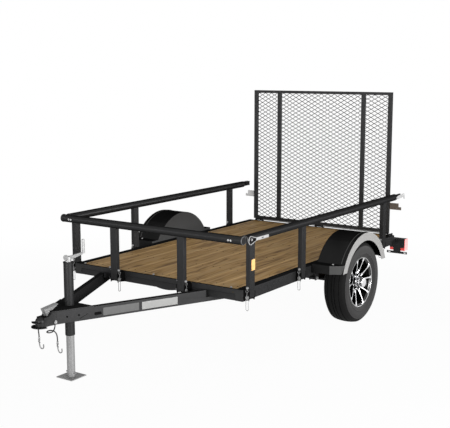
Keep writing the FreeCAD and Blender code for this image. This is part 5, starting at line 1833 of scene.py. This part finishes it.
@dataclass
class TailLamp:
    """A tail lamp: red lens at the back, black top and inner side, a pale red painted highlight on the outer side, red
    strips in front.
    """

    side: Side
    front_x: float = -1.775
    lens_x: float = -1.812
    rear_x: float = -1.84
    inner: float = 0.716
    outer: float = 0.858
    low: float = 0.368
    high: float = 0.47
    strip: float = 0.024
    lid: float = 0.006
    skin: float = 0.004
    lens_inset: float = 0.0006
    skin_inset: float = 0.001
    ribs: int = 6
    rib: float = 0.002
    rib_inset: Span = (0.014, 0.012)

    def build(self) -> None:
        """Makes the housing, the lens with its ribs and the outer side's painted highlight."""
        edge = self.outer - self.skin
        body, lens = (self.lens_x, self.front_x), (self.rear_x + self.lens_inset, self.lens_x)
        wide, lid = (self.inner, edge), self.high - self.lid
        form = Form()
        form.slab(self.side, body, wide, (self.low + self.strip, self.high), 0)
        form.slab(self.side, lens, wide, (lid, self.high), 0)
        form.slab(self.side, lens, wide, (self.low, lid), 1)
        form.slab(self.side, body, wide, (self.low, self.low + self.strip), 1)
        off_y, off_z = self.rib_inset
        for index in range(self.ribs):
            y = self.inner + off_y + (edge - self.inner - 2 * off_y) * index / (self.ribs - 1)
            form.slab(
                self.side, (self.rear_x, self.rear_x + self.rib), (y - self.rib, y + self.rib),
                (self.low + off_z, self.high - off_z), 1)
        # The outer side's skin takes the pale red of the painted highlight.
        skin = (self.rear_x + self.skin_inset, self.front_x)
        form.slab(self.side, skin, (edge, self.outer), (self.low, self.high), 2)
        word = self.side.word
        add_piece(f"tail_lamp_{word}", form, [HOUSING, RED_LENS, LENS_PAINTED_HIGHLIGHT], f"lamp_{word}", rounding=WIDE_EDGE)


@dataclass
class Trim:
    """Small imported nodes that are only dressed."""

    nodes: tuple[str, ...]
    finish: Finish
    rounding: float

    def build(self) -> None:
        """Dresses the nodes."""
        refine_all(self.finish, self.rounding, *self.nodes)


@dataclass
class SafetyCable:
    """A coated safety cable with its ferrule, eye and open hook."""

    name: str
    route: tuple[Place, ...]
    length: float
    radius: float = 0.004
    ferrule: Profile = (
        (0.0038, 0.003), (0.0062, 0.001), (0.0066, -0.012), (0.0055, -0.02), (0.003, -0.027))
    eye_radius: float = 0.0055
    eye_drop: float = 0.03
    eye_tilt: float = 0.007
    eye_wire: float = 0.0018
    hook_wire: float = 0.0036
    hook_route: tuple[Place, ...] = (
        (0, 0, -0.024), (0, 0, -0.040), (-0.003, 0.005, -0.066), (-0.010, 0.014, -0.074),
        (-0.016, 0.023, -0.066), (-0.014, 0.021, -0.046))

    def build(self) -> None:
        """Makes the cable as a smooth curve, then what hangs on its end."""
        curve = smooth_curve(self.name, self.route, 16)
        curve.bevel_depth = self.radius
        curve.bevel_resolution = 4
        curve.use_fill_caps = True
        curve.materials.append(JACKET.material())
        cable = linked(f"{self.name}_jacket", curve)
        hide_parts(self.name)
        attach(cable, "chassis")
        self.build_fitting()

    def build_fitting(self) -> bpy.types.Object:
        """Makes the crimped ferrule, the small eye and the open hook as one object.

        Returns:
            The fitting.
        """
        end = Vector(self.route[-1])
        form = Form()
        form.lathe(self.ferrule, end, UP, 20)
        form.tube([
            end + Vector((u, v, self.eye_tilt * u / self.eye_radius - self.eye_drop))
            for u, v in arc((0.0, 0.0), self.eye_radius, 0, 337.5, 15)], self.eye_wire, 8, closed=True)
        form.tube(smooth_path([end + Vector(point) for point in self.hook_route]), self.hook_wire, 10)
        return add_piece(f"{self.name}_fitting", form, [HOOK_ZINC], "cable_hooks", sharp=50.0)


CABLE_FRONT = SafetyCable(
    "safety_cable_front",
    ((1.819, 0.018, 0.3917), (1.819, 0.018, 0.373), (1.815, 0.018, 0.355), (1.815, 0.018, 0.337)), 0.055)
CABLE_REAR = SafetyCable(
    "safety_cable_rear",
    ((1.700, 0.040, 0.3917), (1.700, 0.040, 0.380), (1.712, 0.045, 0.367), (1.738, 0.062, 0.364),
     (1.766, 0.080, 0.367), (1.786, 0.074, 0.367), (1.783, 0.050, 0.366), (1.760, 0.034, 0.365),
     (1.730, 0.032, 0.363), (1.707, 0.042, 0.353), (1.697, 0.050, 0.332), (1.694, 0.052, 0.308),
     (1.694, 0.052, 0.284)), 0.288)
HANGING_PINS = Trim(("hanging_pins",), BRIGHT_ZINC, 0.0)
LAMP_BRACKETS = Trim(("lamp_brackets",), COAT, FINE_EDGE)
PLATE_BAR = Trim(("plate_bar",), COAT, 0.0006)


@dataclass(frozen=True)
class Softbox:
    """A soft rectangular lamp that the camera doesn't see."""

    name: str
    place: Place
    aim: Place
    size: Span
    power: float

    def build(self) -> None:
        """Adds the lamp."""
        data = bpy.data.lights.new(self.name, "AREA")
        data.shape = "RECTANGLE"
        data.size, data.size_y = self.size
        data.energy = self.power
        lamp = linked(self.name, data)
        lamp.location = self.place
        lamp.rotation_euler = (Vector(self.aim) - Vector(self.place)).to_track_quat("-Z", "Y").to_euler()
        lamp.visible_camera = False


@dataclass
class Studio:
    """The white studio: floor, soft lamps, pale world and the camera at the photograph's place."""

    camera_place: Place = (5.5573, 3.9731, 1.9658)
    camera_aim: Place = (-0.81332, -0.55933, -0.16018)
    lens: float = 72.07
    sensor: float = 36.0
    far_clip: float = 200.0
    soft_light: float = 0.1
    floor_color: float = 0.55
    floor_radius: float = 40.0
    floor_z: float = -0.0005
    floor_thick: float = 0.02
    fade: Span = (2.2, 4.2)
    white_near: float = 0.965
    softboxes: tuple[Softbox, ...] = (
        Softbox("left_softbox", (1.5, 5.5, 1.1), (-0.3, 0.0, 0.6), (3.6, 0.8), 380.0),
        Softbox("top_softbox", (0.0, -0.5, 5.2), (0.0, 0.0, 0.5), (5.0, 4.0), 45.0),
        Softbox("front_softbox", (6.0, 1.0, 1.1), (0.0, 0.0, 0.6), (2.5, 0.8), 190.0),
        Softbox("rear_left_strip", (-5.5, 5.5, 1.3), (-0.5, 0.8, 0.7), (3.0, 1.0), 330.0),
        Softbox("front_right_strip", (6.0, -4.5, 1.5), (0.7, 0.0, 0.8), (2.5, 0.9), 60.0))

    def build(self) -> None:
        """Sets up the whole studio."""
        self.build_camera()
        self.build_world()
        self.build_floor()
        for softbox in self.softboxes:
            softbox.build()
        bpy.context.scene.view_settings.view_transform = "Standard"

    def build_camera(self) -> None:
        """Adds the camera."""
        camera = bpy.data.cameras.new("camera")
        camera.lens = self.lens
        camera.sensor_width = self.sensor
        camera.clip_end = self.far_clip
        holder = linked("camera", camera)
        holder.location = self.camera_place
        holder.rotation_euler = Vector(self.camera_aim).to_track_quat("-Z", "Y").to_euler()
        bpy.context.scene.camera = holder

    @staticmethod
    def white_rays(graph: Graph) -> object:
        """Tells camera, glossy and transmission rays from others.

        Args:
            graph: The world's or the floor's node graph.

        Returns:
            A mask that is 1 for them.
        """
        path = graph.add("ShaderNodeLightPath")
        first = graph.math("MAXIMUM", path.outputs["Is Camera Ray"], path.outputs["Is Glossy Ray"])
        return graph.math("MAXIMUM", first, path.outputs["Is Transmission Ray"])

    def build_world(self) -> None:
        """White where the camera or a reflection looks, a soft grey light elsewhere."""
        world = bpy.data.worlds.new("studio")
        world.use_nodes = True
        graph = Graph(world.node_tree)
        world.node_tree.nodes.clear()
        soft = graph.add("ShaderNodeBackground", {"Color": WHITE, "Strength": self.soft_light})
        white = graph.add("ShaderNodeBackground", {"Color": WHITE, "Strength": 1.0})
        mixed = graph.add("ShaderNodeMixShader", {0: self.white_rays(graph), 1: soft, 2: white})
        graph.add("ShaderNodeOutputWorld", {"Surface": mixed})
        bpy.context.scene.world = world

    def build_floor(self) -> None:
        """A pale floor that fades to white away from the trailer and keeps its shadow."""
        form = Form()
        rim = [(self.floor_radius, -self.floor_thick), (self.floor_radius, 0.0)]
        form.lathe(rim, (0, 0, self.floor_z), UP, 96)
        mesh = form.done("floor")
        made = bpy.data.materials.new("pale_floor")
        made.use_nodes = True
        graph = Graph(made.node_tree)
        made.node_tree.nodes.clear()
        away = graph.add("ShaderNodeVectorMath", {0: graph.place()}, operation="LENGTH").outputs["Value"]
        near, far = self.fade
        fade = graph.add("ShaderNodeMapRange", {
            "Value": away, "From Min": near, "From Max": far, "To Min": self.white_near, "To Max": 1.0})
        matte = graph.add("ShaderNodeBsdfDiffuse", {"Color": (*grey(self.floor_color), 1.0)})
        white = graph.add("ShaderNodeEmission", {"Color": WHITE, "Strength": 1.0})
        share = graph.math("MULTIPLY", self.white_rays(graph), fade)
        mixed = graph.add("ShaderNodeMixShader", {0: share, 1: matte, 2: white})
        graph.add("ShaderNodeOutputMaterial", {"Surface": mixed})
        mesh.materials.append(made)
        linked("floor", mesh)


def main() -> None:
    """Builds the studio and every sub-assembly in order."""
    logging.basicConfig(level=logging.INFO, format="%(name)s: %(message)s")
    Studio().build()
    assemblies = [
        CABLE_FRONT, CABLE_REAR, Bed(), Deck(), Tongue(), Coupler(), Jack(), Rails(), Gate(), Axle(), HANGING_PINS]
    for side in Side:
        assemblies += [Wheel(side), Fender(side), TailLamp(side)]
    for assembly in (*assemblies, LAMP_BRACKETS, PLATE_BAR):
        LOG.info("building %s", type(assembly).__name__)
        assembly.build()


if __name__ == "__main__":
    main()
